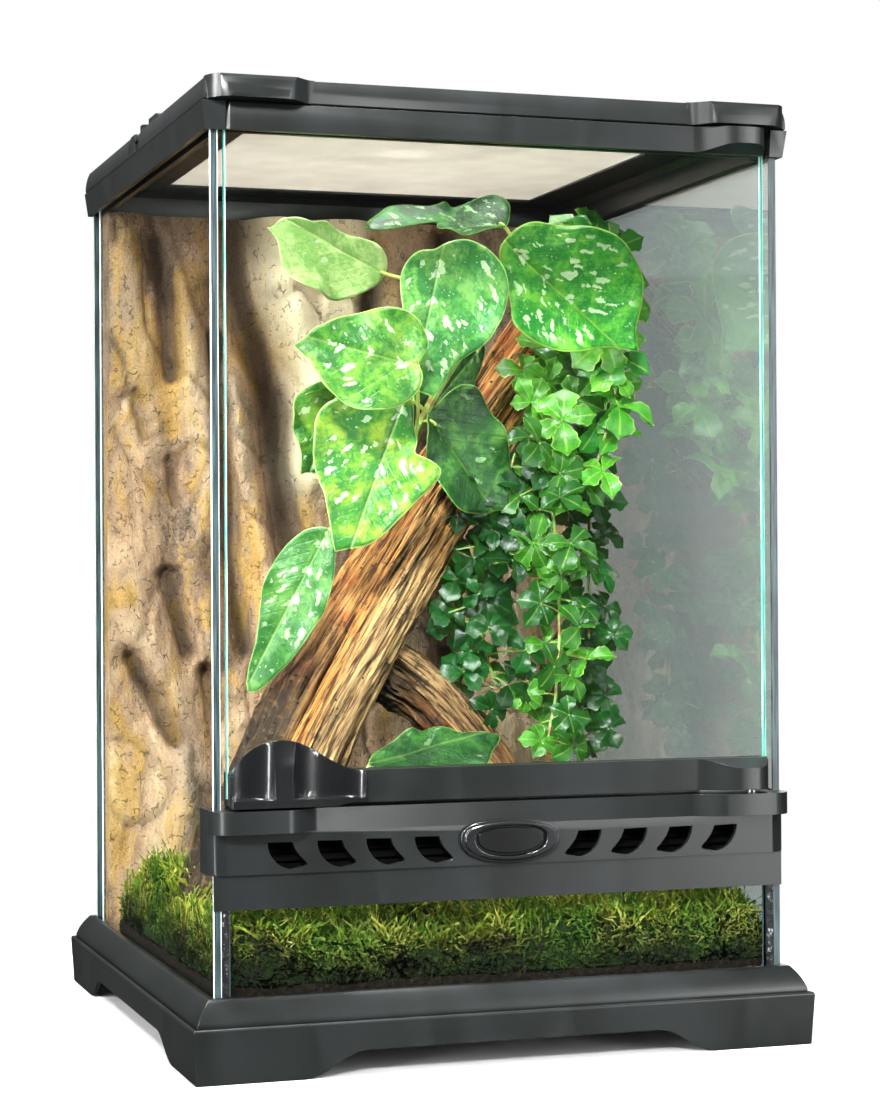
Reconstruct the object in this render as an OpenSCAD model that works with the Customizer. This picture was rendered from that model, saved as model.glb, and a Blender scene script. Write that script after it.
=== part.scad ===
// Front-opening glass terrarium, 30 cm class, with its door, screen cover and planting.
// Millimetres. Origin: centre of the base on the table. +Z up, the door faces -Y.

/* [Glass box] */
// Outer width and depth of the glass box
glass_w = 290; // [286:1:300]
// Thickness of every pane
glass_t = 4; // [3.5:0.5:4]
// Height of the underside of the raised bottom pane
floor_z = 16; // [15:0.5:17]
// Height of the top edge of the tall panes
pane_top = 456; // [440:1:470]

/* [Base] */
// How far the plinth skirt stands out from the glass at its top edge
skirt_out = 12.8; // [12:0.2:14]
// Height of the skirt's top edge
skirt_z = 25.2; // [24:0.2:27]
// Height of the plinth's crest against the glass
crest_z = 38.4; // [37:0.2:40]
// Height of the arches between the feet
arch_h = 12; // [8:0.5:12]
// Half length of an arch at its top
arch_half = 74; // [60:1:90]
// Length of the S curve at each end of an arch
arch_run = 30; // [20:1:35]

/* [Vent bar] */
// Height of the bar's lower edge
bar_z0 = 78.5; // [74:0.5:82]
// Height of the bar's top face
bar_z1 = 125.2; // [124:0.2:127]
// Vents on each side of the badge
vent_count = 4; // [2:1:4]
// Distance from one vent to the next
vent_pitch = 24; // [22:0.5:25]

/* [Door] */
// Thickness (height) of the bottom rail's face
rail_h = 15.5; // [13:0.5:17]
// How far a hinge bulge stands out from the flat front
bulge_out = 8.6; // [7:0.2:8.8]
// Radius of the hinge pins
pin_r = 2.5; // [2:0.1:2.6]
// Radial running clearance of a hinge pin
pin_gap = 0.06; // [0.03:0.01:0.1]

/* [Top frame] */
// Height of the lower edge of the frame
frame_z0 = 441.2; // [430:0.2:450]
// Height of the rim's top face
rim_z = 465.9; // [464:0.1:468]

/* [Screen cover] */
// Half width of the screen's open field
field_half = 109; // [100:1:112]
// Openings along each side of the net
net_cells = 15; // [8:1:17]

/* [Planting] */
// Height of the soil's top
soil_z = 42; // [38:1:46]
// Thickness of the rock background at its thinnest
rock_t = 13; // [10:1:16]

/* [Hidden] */
$fn = 48;

plastic = "#3f4445";
eps = 0.01;
g = glass_w / 2;
gi = g - glass_t;

// height of the front lower pane's top edge, inside the bar
low_pane_top = 92;
// half width of the front lower pane, between the corner beads
low_pane_half = gi - 3.5;
// half width of the rear pane
rear_half = gi - 3;

// hinge axis and the round end of the door rails
hinge_x = g - 17;
hinge_y = -g - 3.5;
rail_r = 8.3;
door_half = gi - 3;
rail_z0 = bar_z1 + 1.8;
rail_z1 = rail_z0 + rail_h;
top_rail_z0 = frame_z0 + 0.1;
top_rail_z1 = top_rail_z0 + 12.7;
rail_front = -g - 4;
rail_back = -g + 7;
bulge_front = rail_front - bulge_out + 0.8;
tier_z = frame_z0 + 13.5;

// rim and ledge of the top frame
rim_in = 3;
ledge_z = pane_top + 2.5;
ledge_in = 11;

// ---------- shared shapes ----------

// Smooth step from 0 to 1, as half a cosine wave
function swell(t) = (1 - cos(180 * t)) / 2;

// Points of an S curve from one corner to another
function s_curve(x0, y0, x1, y1, n = 8) =
    [for (i = [0:n]) [x0 + (x1 - x0) * i / n, y0 + (y1 - y0) * swell(i / n)]];

// Points of an arc
function arc_points(cx, cy, r, a0, a1, n = 6) =
    [for (i = [0:n]) let(a = a0 + (a1 - a0) * i / n) [cx + r * cos(a), cy + r * sin(a)]];

function unit(v) = v / norm(v);

// Extrudes a (distance out, height) profile along one side, with mitred ends
module mitred_side(profile, side) {
    reach = g + 20;
    rotate([0, 0, 90 * side])
        intersection() {
            rotate([90, 0, 90])
                translate([0, 0, -reach])
                    linear_extrude(2 * reach)
                        polygon([for (p = profile) [-g - p[0], p[1]]]);
            linear_extrude(500)
                polygon([[0, 0], [-reach, -reach], [reach, -reach]]);
        }
}

// The same profile round all four sides
module mitred_ring(profile) {
    for (side = [0:3]) mitred_side(profile, side);
}

// Flat outline in X and Z, made thick from y0 to y1
module upright(y0, y1) {
    translate([0, y1, 0]) rotate([90, 0, 0]) linear_extrude(y1 - y0) children();
}

// Box between two corners
module box(a, b) {
    translate(a) cube(b - a);
}

// Mirror image across the middle plane, kept with the original
module both_sides() {
    children();
    mirror([1, 0, 0]) children();
}

// Plan outline of a front hinge bulge on the +X side
function bulge_plan(x_start, x_full, x_end, corner) = concat(
    s_curve(x_start, rail_front + 0.8, x_full, bulge_front),
    arc_points(x_end - corner, bulge_front + corner, corner, -90, 0),
    [[x_end, -g], [x_start, -g]]
);

// Closed skin between two sheets of points, each nu by nv
module slab(near, far, nu, nv) {
    count = nu * nv;
    function at(i, j) = i * nv + j;
    quads = [for (i = [0:nu - 2]) for (j = [0:nv - 2])
        [at(i, j), at(i + 1, j), at(i + 1, j + 1), at(i, j + 1)]];
    front = [for (q = quads) each [[q[0], q[1], q[2]], [q[0], q[2], q[3]]]];
    back = [for (f = front) [f[0] + count, f[2] + count, f[1] + count]];
    rim = concat(
        [for (i = [0:nu - 2]) [at(i, 0), at(i + 1, 0)]],
        [for (j = [0:nv - 2]) [at(nu - 1, j), at(nu - 1, j + 1)]],
        [for (i = [nu - 1:-1:1]) [at(i, nv - 1), at(i - 1, nv - 1)]],
        [for (j = [nv - 1:-1:1]) [at(0, j), at(0, j - 1)]]
    );
    walls = [for (e = rim) each [
        [e[0], e[0] + count, e[1] + count],
        [e[0], e[1] + count, e[1]]
    ]];
    polyhedron(concat(near, far), concat(front, back, walls));
}

// Round tube along a list of points, with a radius at each
module tube(path, radii, sides, lean = [0, 1, 0]) {
    last = len(path) - 1;
    rings = [for (i = [0:last]) let(
        d = unit(path[min(i + 1, last)] - path[max(i - 1, 0)]),
        a = unit(cross(d, lean)),
        b = cross(d, a))
        for (k = [0:sides - 1])
            path[i] + radii[i] * (cos(360 * k / sides) * a + sin(360 * k / sides) * b)];
    function at(i, k) = i * sides + k % sides;
    polyhedron(rings, concat(
        [[for (k = [0:sides - 1]) at(0, k)]],
        [[for (k = [sides - 1:-1:0]) at(last, k)]],
        [for (i = [0:last - 1]) for (k = [0:sides - 1]) each [
            [at(i, k), at(i + 1, k), at(i + 1, k + 1)],
            [at(i, k), at(i + 1, k + 1), at(i, k + 1)]
        ]]
    ));
}

// Points along a smooth curve with four control points
function bend(a, b, c, d, n) = [for (i = [0:n]) let(t = i / n, s = 1 - t)
    s * s * s * a + 3 * s * s * t * b + 3 * s * t * t * c + t * t * t * d];

// ---------- base and glass ----------

// Outer face of the plinth above its groove: a slightly full cove
function cove(n = 6) = [for (i = [0:n]) let(t = i / n)
    [10.2 - 6.6 * t + 0.9 * sin(180 * t), skirt_z + 2 + (crest_z - skirt_z - 2.2) * t]];

module base_frame() {
    wall = 2.4;
    lip_in = 14;
    lip_t = 2.8;
    foot_out = skirt_out - 1.5;
    profile = concat(
        [[foot_out, 0], [skirt_out, skirt_z], [skirt_out - 0.8, skirt_z + 0.9],
         [skirt_out - 1.9, skirt_z + 0.9], [skirt_out - 1.9, skirt_z - 0.3],
         [skirt_out - 3, skirt_z - 0.3]],
        cove(),
        [[3, crest_z], [0, crest_z], [0, floor_z], [-lip_in, floor_z], [-lip_in, floor_z - lip_t],
         [wall, floor_z - lip_t], [wall, crest_z - 4.6], [skirt_out - 5.4, skirt_z - 0.6],
         [skirt_out - 3.2, skirt_z - 4], [foot_out - wall, 0]]
    );
    arch = concat(
        [[-arch_half - arch_run, -1]],
        s_curve(-arch_half - arch_run, 0, -arch_half, arch_h),
        s_curve(arch_half, arch_h, arch_half + arch_run, 0),
        [[arch_half + arch_run, -1]]
    );
    color(plastic)
        difference() {
            mitred_ring(profile);
            for (turn = [0, 90])
                rotate([0, 0, turn]) upright(-g - 20, g + 20) polygon(arch);
        }
}

module bottom_pane() {
    half = gi - 1.5;
    color("#d5e8e2", 0.4) box([-half, -half, floor_z], [half, half, floor_z + glass_t]);
}

module side_pane() {
    color("#d5e8e2", 0.4) box([-g, -g, floor_z], [-gi, g, pane_top]);
}

module left_pane() {
    side_pane();
}

module right_pane() {
    mirror([1, 0, 0]) side_pane();
}

module rear_pane() {
    color("#d5e8e2", 0.4) box([-rear_half, gi, floor_z], [rear_half, g, pane_top]);
}

module front_lower_pane() {
    color("#d5e8e2", 0.4)
        box([-low_pane_half, -g, floor_z], [low_pane_half, -gi, low_pane_top]);
}

module silicone_seams() {
    half = gi - 1.5;
    color("#17191a") {
        both_sides() {
            box([low_pane_half, -g, floor_z], [gi, -gi, bar_z0]);
            box([rear_half, gi, floor_z], [gi, g, pane_top]);
        }
        difference() {
            box([-gi, -gi, floor_z], [gi, gi, floor_z + glass_t]);
            box([-half, -half, floor_z - 1], [half, half, floor_z + glass_t + 1]);
        }
    }
}

// ---------- vent bar ----------

band_top = 95;
bar_front = -g - 3.6;
bar_back = -gi + 6;
bar_side = g + 2.2;
bulge_z = bar_z1 - 10.7;
vent_w = 12.2;
vent_h = 11.4;
vent_top = 109.6;

// Outline of one vent: flat top, hollow right side, full left side, drawn out to a low point
function vent_outline() = concat(
    arc_points(13, 0.2, 13, 180, 262, 8),
    [[18.2, -vent_h], [19.2, -vent_h + 0.6], [18.9, -vent_h + 1.6]],
    [for (i = [1:5]) let(t = i / 5)
        [18.9 - (18.9 - vent_w) * t - 1.1 * sin(180 * t), -vent_h + 1.6 + (vent_h - 1.6) * t]]
);

module vents(y0, y1) {
    first = 119.8;
    both_sides()
        for (i = [0:vent_count - 1])
            upright(y0, y1)
                translate([-first + vent_pitch * i, vent_top]) polygon(vent_outline());
}

module vent_bar() {
    corner = 8;
    lip_end = hinge_x - 23;
    color(plastic)
        difference() {
            union() {
                box([-g, bar_front + 2, bar_z0], [g, -g, band_top + 1]);
                box([-gi, -g, bar_z0], [gi, bar_back, band_top]);
                // upper section, round at both ends, with ears along the side glass
                translate([0, 0, band_top])
                    linear_extrude(bar_z1 - band_top)
                        polygon(concat(
                            arc_points(-bar_side + corner, bar_front + corner, corner, 180, 270),
                            arc_points(bar_side - corner, bar_front + corner, corner, 270, 360),
                            [[bar_side, -g + 17], [g, -g + 17], [g, -g + 4], [gi, -g + 4],
                             [gi, bar_back], [-gi, bar_back], [-gi, -g + 4], [-g, -g + 4],
                             [-g, -g + 17], [-bar_side, -g + 17]]
                        ));
                // hinge bulge and its twin
                both_sides()
                    translate([0, 0, bulge_z])
                        linear_extrude(bar_z1 - bulge_z)
                            polygon(bulge_plan(93, 112, bar_side, 10));
                // rebate behind the door's bottom rail
                box([-door_half + 1, rail_back + 0.5, bar_z1 - 1], [lip_end, bar_back, bar_z1 + 5]);
            }
            // side panes, front pane and its corner beads
            both_sides() box([gi, -g, bar_z0 - 1], [g, -g + 30, bar_z1 + 1]);
            box([-gi, -g, bar_z0 - 1], [gi, -gi, low_pane_top]);
            // cavity behind the front wall, open to the rear
            box([-122, bar_front + 2.6, band_top], [122, -gi + 0.5, bar_z1 - 2.6]);
            box([-122, -gi, band_top + 1], [122, bar_back + 1, bar_z1 - 8]);
            vents(bar_front - 1, -gi);
            // chamfers at the back of the ears
            both_sides()
                translate([g - 1, -g + 17, bar_z1])
                    rotate([45, 0, 0]) cube([5, 6, 6], center = true);
            // hinge socket
            translate([hinge_x, hinge_y, bar_z1 - 7])
                cylinder(h = 8, r = pin_r + pin_gap);
        }
}

// Louvre behind the vents: a frame with slats that rise inwards, so that no one sees in
module vent_insert() {
    back = bar_back;
    front = back - 5.4;
    foot_z = band_top + 1;
    head_z = bar_z1 - 8;
    rim = 1.5;
    slat_t = 1.3;
    rise = 4.4;
    pitch = 4.1;
    color("#1d2021") {
        difference() {
            box([-122, front, foot_z], [122, back, head_z]);
            for (x = [[-122 + rim, -24], [24, 122 - rim]])
                box([x[0], front - 1, foot_z + rim], [x[1], back + 1, head_z - rim]);
        }
        intersection() {
            box([-121, front, foot_z + 1], [121, back, head_z - 1]);
            rotate([90, 0, 90])
                translate([0, 0, -121])
                    linear_extrude(242)
                        for (z = [foot_z - rise:pitch:head_z])
                            polygon([[front, z], [back, z + rise],
                                [back, z + rise + slat_t], [front, z + slat_t]]);
        }
    }
}

// Shield outline: flat-topped oval with a full, round lower half
function shield(half_w, up, down, n = 48) = [for (i = [0:n - 1]) let(a = 360 * i / n, s = sin(a))
    [half_w * cos(a), s > 0 ? up * pow(s, 0.62) : -down * pow(-s, 0.86)]];

badge_z = 107.4;

module badge_bezel() {
    color("#2b2e2f")
        difference() {
            union() {
                upright(bar_front - 2.2, bar_front)
                    translate([0, badge_z]) polygon(shield(25.2, 9.4, 11.9));
                upright(bar_front - 3.4, bar_front - 2)
                    translate([0, badge_z]) polygon(shield(23.2, 7.9, 10.3));
            }
            upright(bar_front - 5, bar_front + 1)
                translate([0, badge_z]) polygon(shield(18.2, 6.4, 8.4));
        }
}

module badge_plate() {
    color("#151718") {
        upright(bar_front - 1.2, bar_front)
            translate([0, badge_z]) polygon(shield(18.1, 6.3, 8.3));
        upright(bar_front - 1.9, bar_front - 1.2)
            translate([0, badge_z]) polygon(shield(16.4, 5.2, 7));
    }
}

module door_catch() {
    nub_h = 1.2;
    color("#2b2e2f")
        translate([-g + 33, -g - 0.5, bar_z1])
            rotate([90, 0, 90])
                translate([0, 0, -7])
                    linear_extrude(14) polygon([[-2.2, 0], [2.2, 0], [1, nub_h], [-1, nub_h]]);
}

// ---------- top frame ----------

// Outer face of the upper tier, slightly full, from its foot to the rim
function tier_face(n = 6) = [for (i = [0:n]) let(t = i / n)
    [3.7 - 2 * pow(t, 2.4), tier_z + 0.5 + (rim_z - tier_z - 0.5) * t]];

lock_y0 = -56;
lock_y1 = 28;
lock_z = ledge_z + 3.4;
gate_x0 = 99;
gate_x1 = 131;
gate_run = 30;

module top_frame() {
    skirt_in = 7;
    skirt_t = 2.7;
    profile = concat(
        [[2.6, frame_z0], [4.2, tier_z - 0.5], [3, tier_z]],
        tier_face(),
        [[-rim_in, rim_z], [-rim_in, ledge_z], [-ledge_in, ledge_z], [-ledge_in, ledge_z - 3],
         [-skirt_in, ledge_z - 6.5], [-skirt_in, frame_z0],
         [-skirt_in + skirt_t + 0.3, frame_z0], [-glass_t, frame_z0 + 2], [-glass_t, pane_top],
         [0, pane_top], [0, frame_z0]]
    );
    // front bulges: the tier's face moved out, kept to the bulge's plan
    bulge_face = [for (p = tier_face()) [-g - p[0] - bulge_out + 0.5, p[1]]];
    color(plastic)
        difference() {
            union() {
                difference() {
                    mitred_ring(profile);
                    box([-door_half, -g - 20, frame_z0 - 1], [door_half + 2.4, -g + 14, tier_z]);
                }
                box([-gi, -g, tier_z], [gi, -gi, pane_top]);
                both_sides()
                    intersection() {
                        translate([0, 0, tier_z])
                            linear_extrude(rim_z - tier_z)
                                polygon(bulge_plan(95, 110, g + 2.6, 12));
                        rotate([90, 0, 90])
                            linear_extrude(g + 5)
                                polygon(concat([[-g, tier_z]], bulge_face, [[-g, rim_z]]));
                    }
                // stop behind the door's top rail
                box([-door_half + 1, rail_back + 0.5, frame_z0 + 5],
                    [hinge_x - 23, rail_back + 3, tier_z + 1]);
            }
            // hinge socket
            translate([hinge_x, hinge_y, tier_z - 1])
                cylinder(h = 8.5, r = pin_r + pin_gap);
            // slide ways of the cover locks, and the finger recess beside each
            both_sides() {
                box([g - rim_in - 1, lock_y0, lock_z], [g + 1, lock_y1, rim_z + 1]);
                box([g + 0.9, 0, tier_z + 1], [g + 6, lock_y1 - 1, rim_z + 1]);
            }
            // cable inlets with the slide ways of their gates
            both_sides() {
                box([gate_x0, gi - 8, ledge_z - 0.5], [gate_x1, g + 8, rim_z + 1]);
                box([gate_x0 - gate_run - 2, g - 1.4, ledge_z - 0.5], [gate_x1 + 1, g + 0.5, rim_z + 1]);
            }
        }
}

// ---------- door ----------

module door_glass() {
    color("#cfe9e4", 0.4)
        box([-door_half, -g, rail_z0 + 3], [door_half, -gi, top_rail_z1 - 2.6]);
}

// Plan of a door rail: flat on the left, swelling to a round end about the hinge
function rail_plan() = concat(
    [[-door_half, rail_back], [-door_half, rail_front + 2], [-door_half + 2, rail_front],
     [98, rail_front]],
    s_curve(98, rail_front, hinge_x - 8, hinge_y - rail_r),
    arc_points(hinge_x, hinge_y, rail_r, -90, 0, 8),
    [[hinge_x + rail_r, -g - 0.5], [door_half, -g - 0.5], [door_half, rail_back]]
);

// A rail between two heights; the bulge's face is bevelled towards the glass side
module rail(z0, z1, bevel_up) {
    pitch = 30;
    edge_z = bevel_up ? z1 : z0;
    difference() {
        translate([0, 0, z0]) linear_extrude(z1 - z0) polygon(rail_plan());
        translate([hinge_x - 40, rail_front, edge_z])
            rotate([bevel_up ? pitch : -pitch, 0, 0])
                translate([0, -20, bevel_up ? 0 : -10]) cube([60, 20, 10]);
        box([-door_half - 1, -g, rail_z0 + 3], [door_half + 1, -gi, top_rail_z1 - 2.6]);
    }
}

module door_bottom_rail() {
    color(plastic)
        difference() {
            rail(rail_z0, rail_z1, true);
            translate([hinge_x, hinge_y, rail_z0 - 1]) cylinder(h = 7, r = pin_r + 0.02);
            // room for the catch
            box([-g + 25, -g - 3.5, rail_z0 - 1], [-g + 41, -g + 2.5, rail_z0 + 0.6]);
        }
}

module door_top_rail() {
    color(plastic)
        difference() {
            rail(top_rail_z0, top_rail_z1, false);
            translate([hinge_x, hinge_y, top_rail_z1 - 6]) cylinder(h = 7, r = pin_r + 0.02);
        }
}

module hinge_pin_bottom() {
    color("silver")
        translate([hinge_x, hinge_y, bar_z1 - 6.5])
            cylinder(h = rail_z0 + 6 - bar_z1 + 6.5, r = pin_r);
}

module hinge_pin_top() {
    color("silver")
        translate([hinge_x, hinge_y, top_rail_z1 - 6])
            cylinder(h = tier_z - top_rail_z1 + 13, r = pin_r);
}

// Bell outline of the finger grip above the rail
grip_peak = 157.7;
grip_x = -g + 31;

function grip_outline() = concat(
    [[-door_half, rail_z0 - 0.6], [-door_half, rail_z0 + 10]],
    [for (i = [1:8]) let(a = 90 * i / 8)
        [grip_x - (grip_x + door_half) * cos(a), rail_z0 + 10 + (grip_peak - rail_z0 - 10) * sin(a)]],
    [for (i = [1:9]) let(t = i / 9) [grip_x + 40 * t, grip_peak - (grip_peak - rail_z1) * swell(t)]],
    [[grip_x + 40, rail_z0 + 3], [grip_x + 26, rail_z0 - 0.6]]
);

module door_grip() {
    depth = 8;
    front = rail_front - depth;
    color(plastic)
        difference() {
            upright(front, rail_front) polygon(grip_outline());
            // a scoop on each side of the finger fin, deeper at its foot
            for (scoop = [[grip_x - 17, 13.5], [grip_x + 22, 18.5]])
                translate([scoop[0], front - 1.5, rail_z0 + 3])
                    rotate([5, 0, 0])
                        scale([scoop[1], depth, 1]) cylinder(h = 60, r = 1);
        }
}

// ---------- screen cover ----------

lid_half = gi + 0.5;
drop_half = g - ledge_in - 0.6;
lid_z = ledge_z + 0.1;
flange_t = 3;
screen_z = pane_top;

module lid_frame() {
    plate_t = 2.5;
    plate_z = screen_z - 1.5;
    color(plastic)
        difference() {
            union() {
                box([-drop_half, -lid_half, lid_z], [drop_half, lid_half, lid_z + flange_t]);
                box([-drop_half, -drop_half, plate_z], [drop_half, drop_half, lid_z + 1]);
            }
            // tray between the outer flange and the rib round the screen
            difference() {
                box([-drop_half + 2.5, -drop_half + 2.5, plate_z + plate_t],
                    [drop_half - 2.5, drop_half - 2.5, lid_z + 5]);
                box([-field_half - 3, -field_half - 3, plate_z],
                    [field_half + 3, field_half + 3, lid_z + 1]);
            }
            box([-field_half, -field_half, plate_z - 1], [field_half, field_half, lid_z + 5]);
            // notches for the two cable inlets
            both_sides()
                box([gate_x0 - 2, gi - 9, lid_z - 1], [gate_x1 + 2, lid_half + 1, lid_z + 5]);
        }
}

// Side edges of the cover's flange, in two lengths each with a gap for the lock's tongue
module lid_side_edges() {
    gap_y0 = -8;
    gap_y1 = 11;
    color(plastic)
        both_sides()
            for (y = [[-lid_half, gap_y0], [gap_y1, lid_half]])
                box([drop_half, y[0], lid_z], [lid_half, y[1], lid_z + flange_t]);
}

module lid_mesh() {
    wire = 1;
    rim = 1.2;
    span = 2 * (field_half - rim);
    step = (span + wire) / net_cells;
    color("#efe9da")
        translate([0, 0, screen_z - 0.4])
            linear_extrude(0.8)
                difference() {
                    square(2 * field_half, center = true);
                    for (i = [0:net_cells - 1])
                        for (j = [0:net_cells - 1])
                            translate([-span / 2 + step * i, -span / 2 + step * j])
                                square(step - wire);
                }
}

// ---------- cover locks and cable gates ----------

// Lock on the +X rim: a slider with two thumb lugs and a tongue for the cover's flange
module lid_lock() {
    gap = 0.2;
    base_z = lock_z + gap;
    top_z = rim_z + 3.6;
    inner = g - rim_in;
    color("#4d5253") {
        box([inner, lock_y0 + 14, base_z], [g + 0.7, 12, rim_z]);
        // tongue
        box([inner - 6, -5, base_z], [inner, 8, base_z + 2.4]);
        // outer tab, down into the finger recess
        box([inner + 1, 12, base_z], [g + 2.6, 24, rim_z]);
        box([g + 1.2, 15, tier_z + 2], [g + 2.6, 24, base_z]);
        // two lugs with sloping rear ends
        for (lug = [[-40, 12], [-14, -4]])
            translate([inner + 0.5, 0, 0])
                rotate([90, 0, 90])
                    linear_extrude(rim_in)
                        polygon(lug[0] < -20
                            ? [[-42, rim_z], [-30, top_z], [-12, top_z], [-12, rim_z]]
                            : [[-9, rim_z], [-6, top_z - 1.6], [4, top_z], [9, top_z], [9, rim_z]]);
    }
}

module lid_lock_right() {
    lid_lock();
}

module lid_lock_left() {
    mirror([1, 0, 0]) lid_lock();
}

// Gate of the +X cable inlet: a thin slider with a thumb tab
module inlet_gate() {
    gap = 0.25;
    color("#33383a") {
        box([gate_x0 - 1, g - 1.4 + gap, ledge_z - 0.5 + gap],
            [gate_x1 + 1 - gap, g + 0.5 - gap, rim_z - 0.4]);
        box([gate_x0 + 1, g - 1.4 + gap, rim_z - 0.4], [gate_x0 + 11, g + 0.5 - gap, rim_z + 2]);
    }
}

module inlet_gate_right() {
    inlet_gate();
}

module inlet_gate_left() {
    mirror([1, 0, 0]) inlet_gate();
}

// ---------- planting ----------

rock_back = gi - 0.3;
rock_half = gi - 0.4;
rock_top = 438;

// Bell-shaped bump of a given width about zero
function bump(x, width) = exp(-pow(x / width, 2));

// Ridges and furrows of the rock: a path of (x, z), its height or depth and its half width
rock_ridges = [
    [[[-42, 438], [-38, 412], [-30, 388], [-20, 362], [-18, 330], [-24, 298]], 16, 14],
    [[[0, 440], [2, 400], [0, 350], [-8, 300]], 11, 17],
    [[[-134, 430], [-124, 360], [-116, 300], [-122, 250]], 8, 16],
    [[[-96, 400], [-90, 330], [-84, 290], [-90, 240], [-84, 190]], 10, 11],
    [[[-70, 345], [-62, 290], [-48, 235], [-44, 190]], 9, 9],
    [[[-124, 200], [-104, 170], [-98, 120], [-104, 60]], 10, 14],
    [[[36, 420], [38, 340], [32, 260], [42, 170]], 9, 16],
    [[[96, 430], [100, 330], [92, 240], [98, 120]], 12, 22]
];
rock_furrows = [
    [[[-67, 440], [-64, 405], [-55, 372], [-45, 338], [-40, 290], [-30, 240]], 15, 10],
    [[[-112, 425], [-106, 392], [-104, 350]], 6, 8],
    [[[-132, 352], [-118, 318], [-102, 288], [-96, 262]], 6, 7],
    [[[-78, 372], [-74, 310], [-70, 240], [-60, 190]], 8, 7],
    [[[-112, 246], [-98, 218], [-88, 186], [-74, 150]], 7, 7],
    [[[-140, 215], [-124, 182], [-106, 150], [-86, 116]], 7, 7],
    [[[16, 420], [16, 360], [10, 300], [12, 200]], 9, 9],
    [[[64, 430], [66, 330], [62, 230], [68, 120]], 9, 11]
];

// Distance of a point from the line between two others
function line_gap(p, a, b) = let(
    d = b - a,
    t = max(0, min(1, (p - a) * d / (d * d))))
    norm(p - a - t * d);

// Height at a point of all the paths in a list
function along_paths(p, paths, k = 0) = k == len(paths) ? 0 : let(path = paths[k][0])
    paths[k][1] * bump(min([for (i = [0:len(path) - 2]) line_gap(p, path[i], path[i + 1])]), paths[k][2])
        + along_paths(p, paths, k + 1);

// Thickness of the rock at a point of its face
function rock_relief(x, z) = let(p = [x, z])
    min(39, max(5.5, rock_t + 2.5 * sin(1.7 * z + 1.3 * x) + along_paths(p, rock_ridges)
        - along_paths(p, rock_furrows)));

// Cast rock panel: columns close together at the left, where the door shows it, and wider at the right
module rock_background() {
    foot_z = floor_z + glass_t;
    columns = concat(
        [for (x = [-rock_half:7.03:13.5]) x],
        [for (i = [1:9]) 13.5 + (rock_half - 13.5) * i / 9]);
    nu = len(columns);
    nv = 37;
    rows = [for (j = [0:nv - 1]) foot_z + (rock_top - foot_z) * j / (nv - 1)];
    front = [for (x = columns) for (z = rows) [x, rock_back - rock_relief(x, z), z]];
    function at(i, j) = i * nv + j;
    loop = concat([for (i = [0:nu - 2]) at(i, 0)], [for (j = [0:nv - 2]) at(nu - 1, j)],
                  [for (i = [nu - 1:-1:1]) at(i, nv - 1)], [for (j = [nv - 1:-1:1]) at(0, j)]);
    turns = len(loop);
    count = nu * nv;
    back = [for (k = loop) [front[k][0], rock_back, front[k][2]]];
    function ahead(k) = (k + 1) % turns;
    color("#9c8464")
        polyhedron(concat(front, back, [[0, rock_back, (foot_z + rock_top) / 2]]), concat(
            [for (i = [0:nu - 2]) for (j = [0:nv - 2]) each [
                [at(i, j), at(i, j + 1), at(i + 1, j + 1)],
                [at(i, j), at(i + 1, j + 1), at(i + 1, j)]
            ]],
            [for (k = [0:turns - 1]) each [
                [loop[k], loop[ahead(k)], count + ahead(k)],
                [loop[k], count + ahead(k), count + k],
                [count + k, count + ahead(k), count + turns]
            ]]));
}

soil_half = gi - 0.3;
soil_back = 98;

module soil_bed() {
    color("#2e241c")
        box([-soil_half, -soil_half, floor_z + glass_t], [soil_half, soil_back, soil_z]);
}

// Height of the moss: hummocks that bank up along the left side
function moss_height(x, y) = soil_z + 22 + 6 * sin(1.9 * x) * sin(2.3 * y + 40)
    + 14 * bump(x + 140, 60) * bump(y + 20, 80) + 3 * sin(5 * x + 3 * y);

module moss_bed() {
    nu = 17;
    nv = 15;
    spots = [for (i = [0:nu - 1]) for (j = [0:nv - 1])
        [soil_half * (2 * i / (nu - 1) - 1), -soil_half + (soil_back + soil_half) * j / (nv - 1)]];
    color("#6f9132")
        difference() {
            slab([for (s = spots) [s[0], s[1], soil_z]],
                 [for (s = spots) [s[0], s[1], moss_height(s[0], s[1])]], nu, nv);
            log_shape(0.1);
            branch_shape();
            leaf_low_shape();
        }
}

// Centre lines of the driftwood, from the substrate upwards
log_line = bend([-108, -24, soil_z + 16], [-48, -9, 194], [11, 30, 258], [121, 66, 398], 16);
branch_line = bend([-20, 14, 190], [14, 12, 172], [46, 0, 140], [92, -10, soil_z - 2], 10);

// Knobbly tube: the radius swells and shrinks along its length
module driftwood(line, r0, r1, sides) {
    last = len(line) - 1;
    tube(line, [for (i = [0:last])
        (r0 + (r1 - r0) * i / last) * (1 + 0.09 * sin(100 * i) + 0.05 * sin(217 * i))], sides);
}

// The log, or with room the space that it takes from what touches it
module log_shape(room = 0) {
    driftwood(log_line, 30 + room, 18 + room, 12);
}

module branch_shape() {
    driftwood(branch_line, 17, 13, 10);
}

// Ground level and all below it
module below_ground() {
    box([-gi, -gi, -1], [gi, gi, soil_z]);
}

module driftwood_log() {
    color("#94683c")
        difference() {
            log_shape();
            below_ground();
        }
}

module driftwood_branch() {
    color("#8a6238")
        difference() {
            branch_shape();
            log_shape(0.1);
            below_ground();
        }
}

stem_line = bend([1, 16, 274], [-15, -22, 310], [32, -4, 366], [101, 44, 423], 14);

module stem_shape() {
    tube(stem_line, [for (p = stem_line) 2.6], 8, [1, 0, 0]);
}

module climbing_stem() {
    color("#7fa648")
        difference() {
            stem_shape();
            log_shape(0.1);
        }
}

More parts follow.
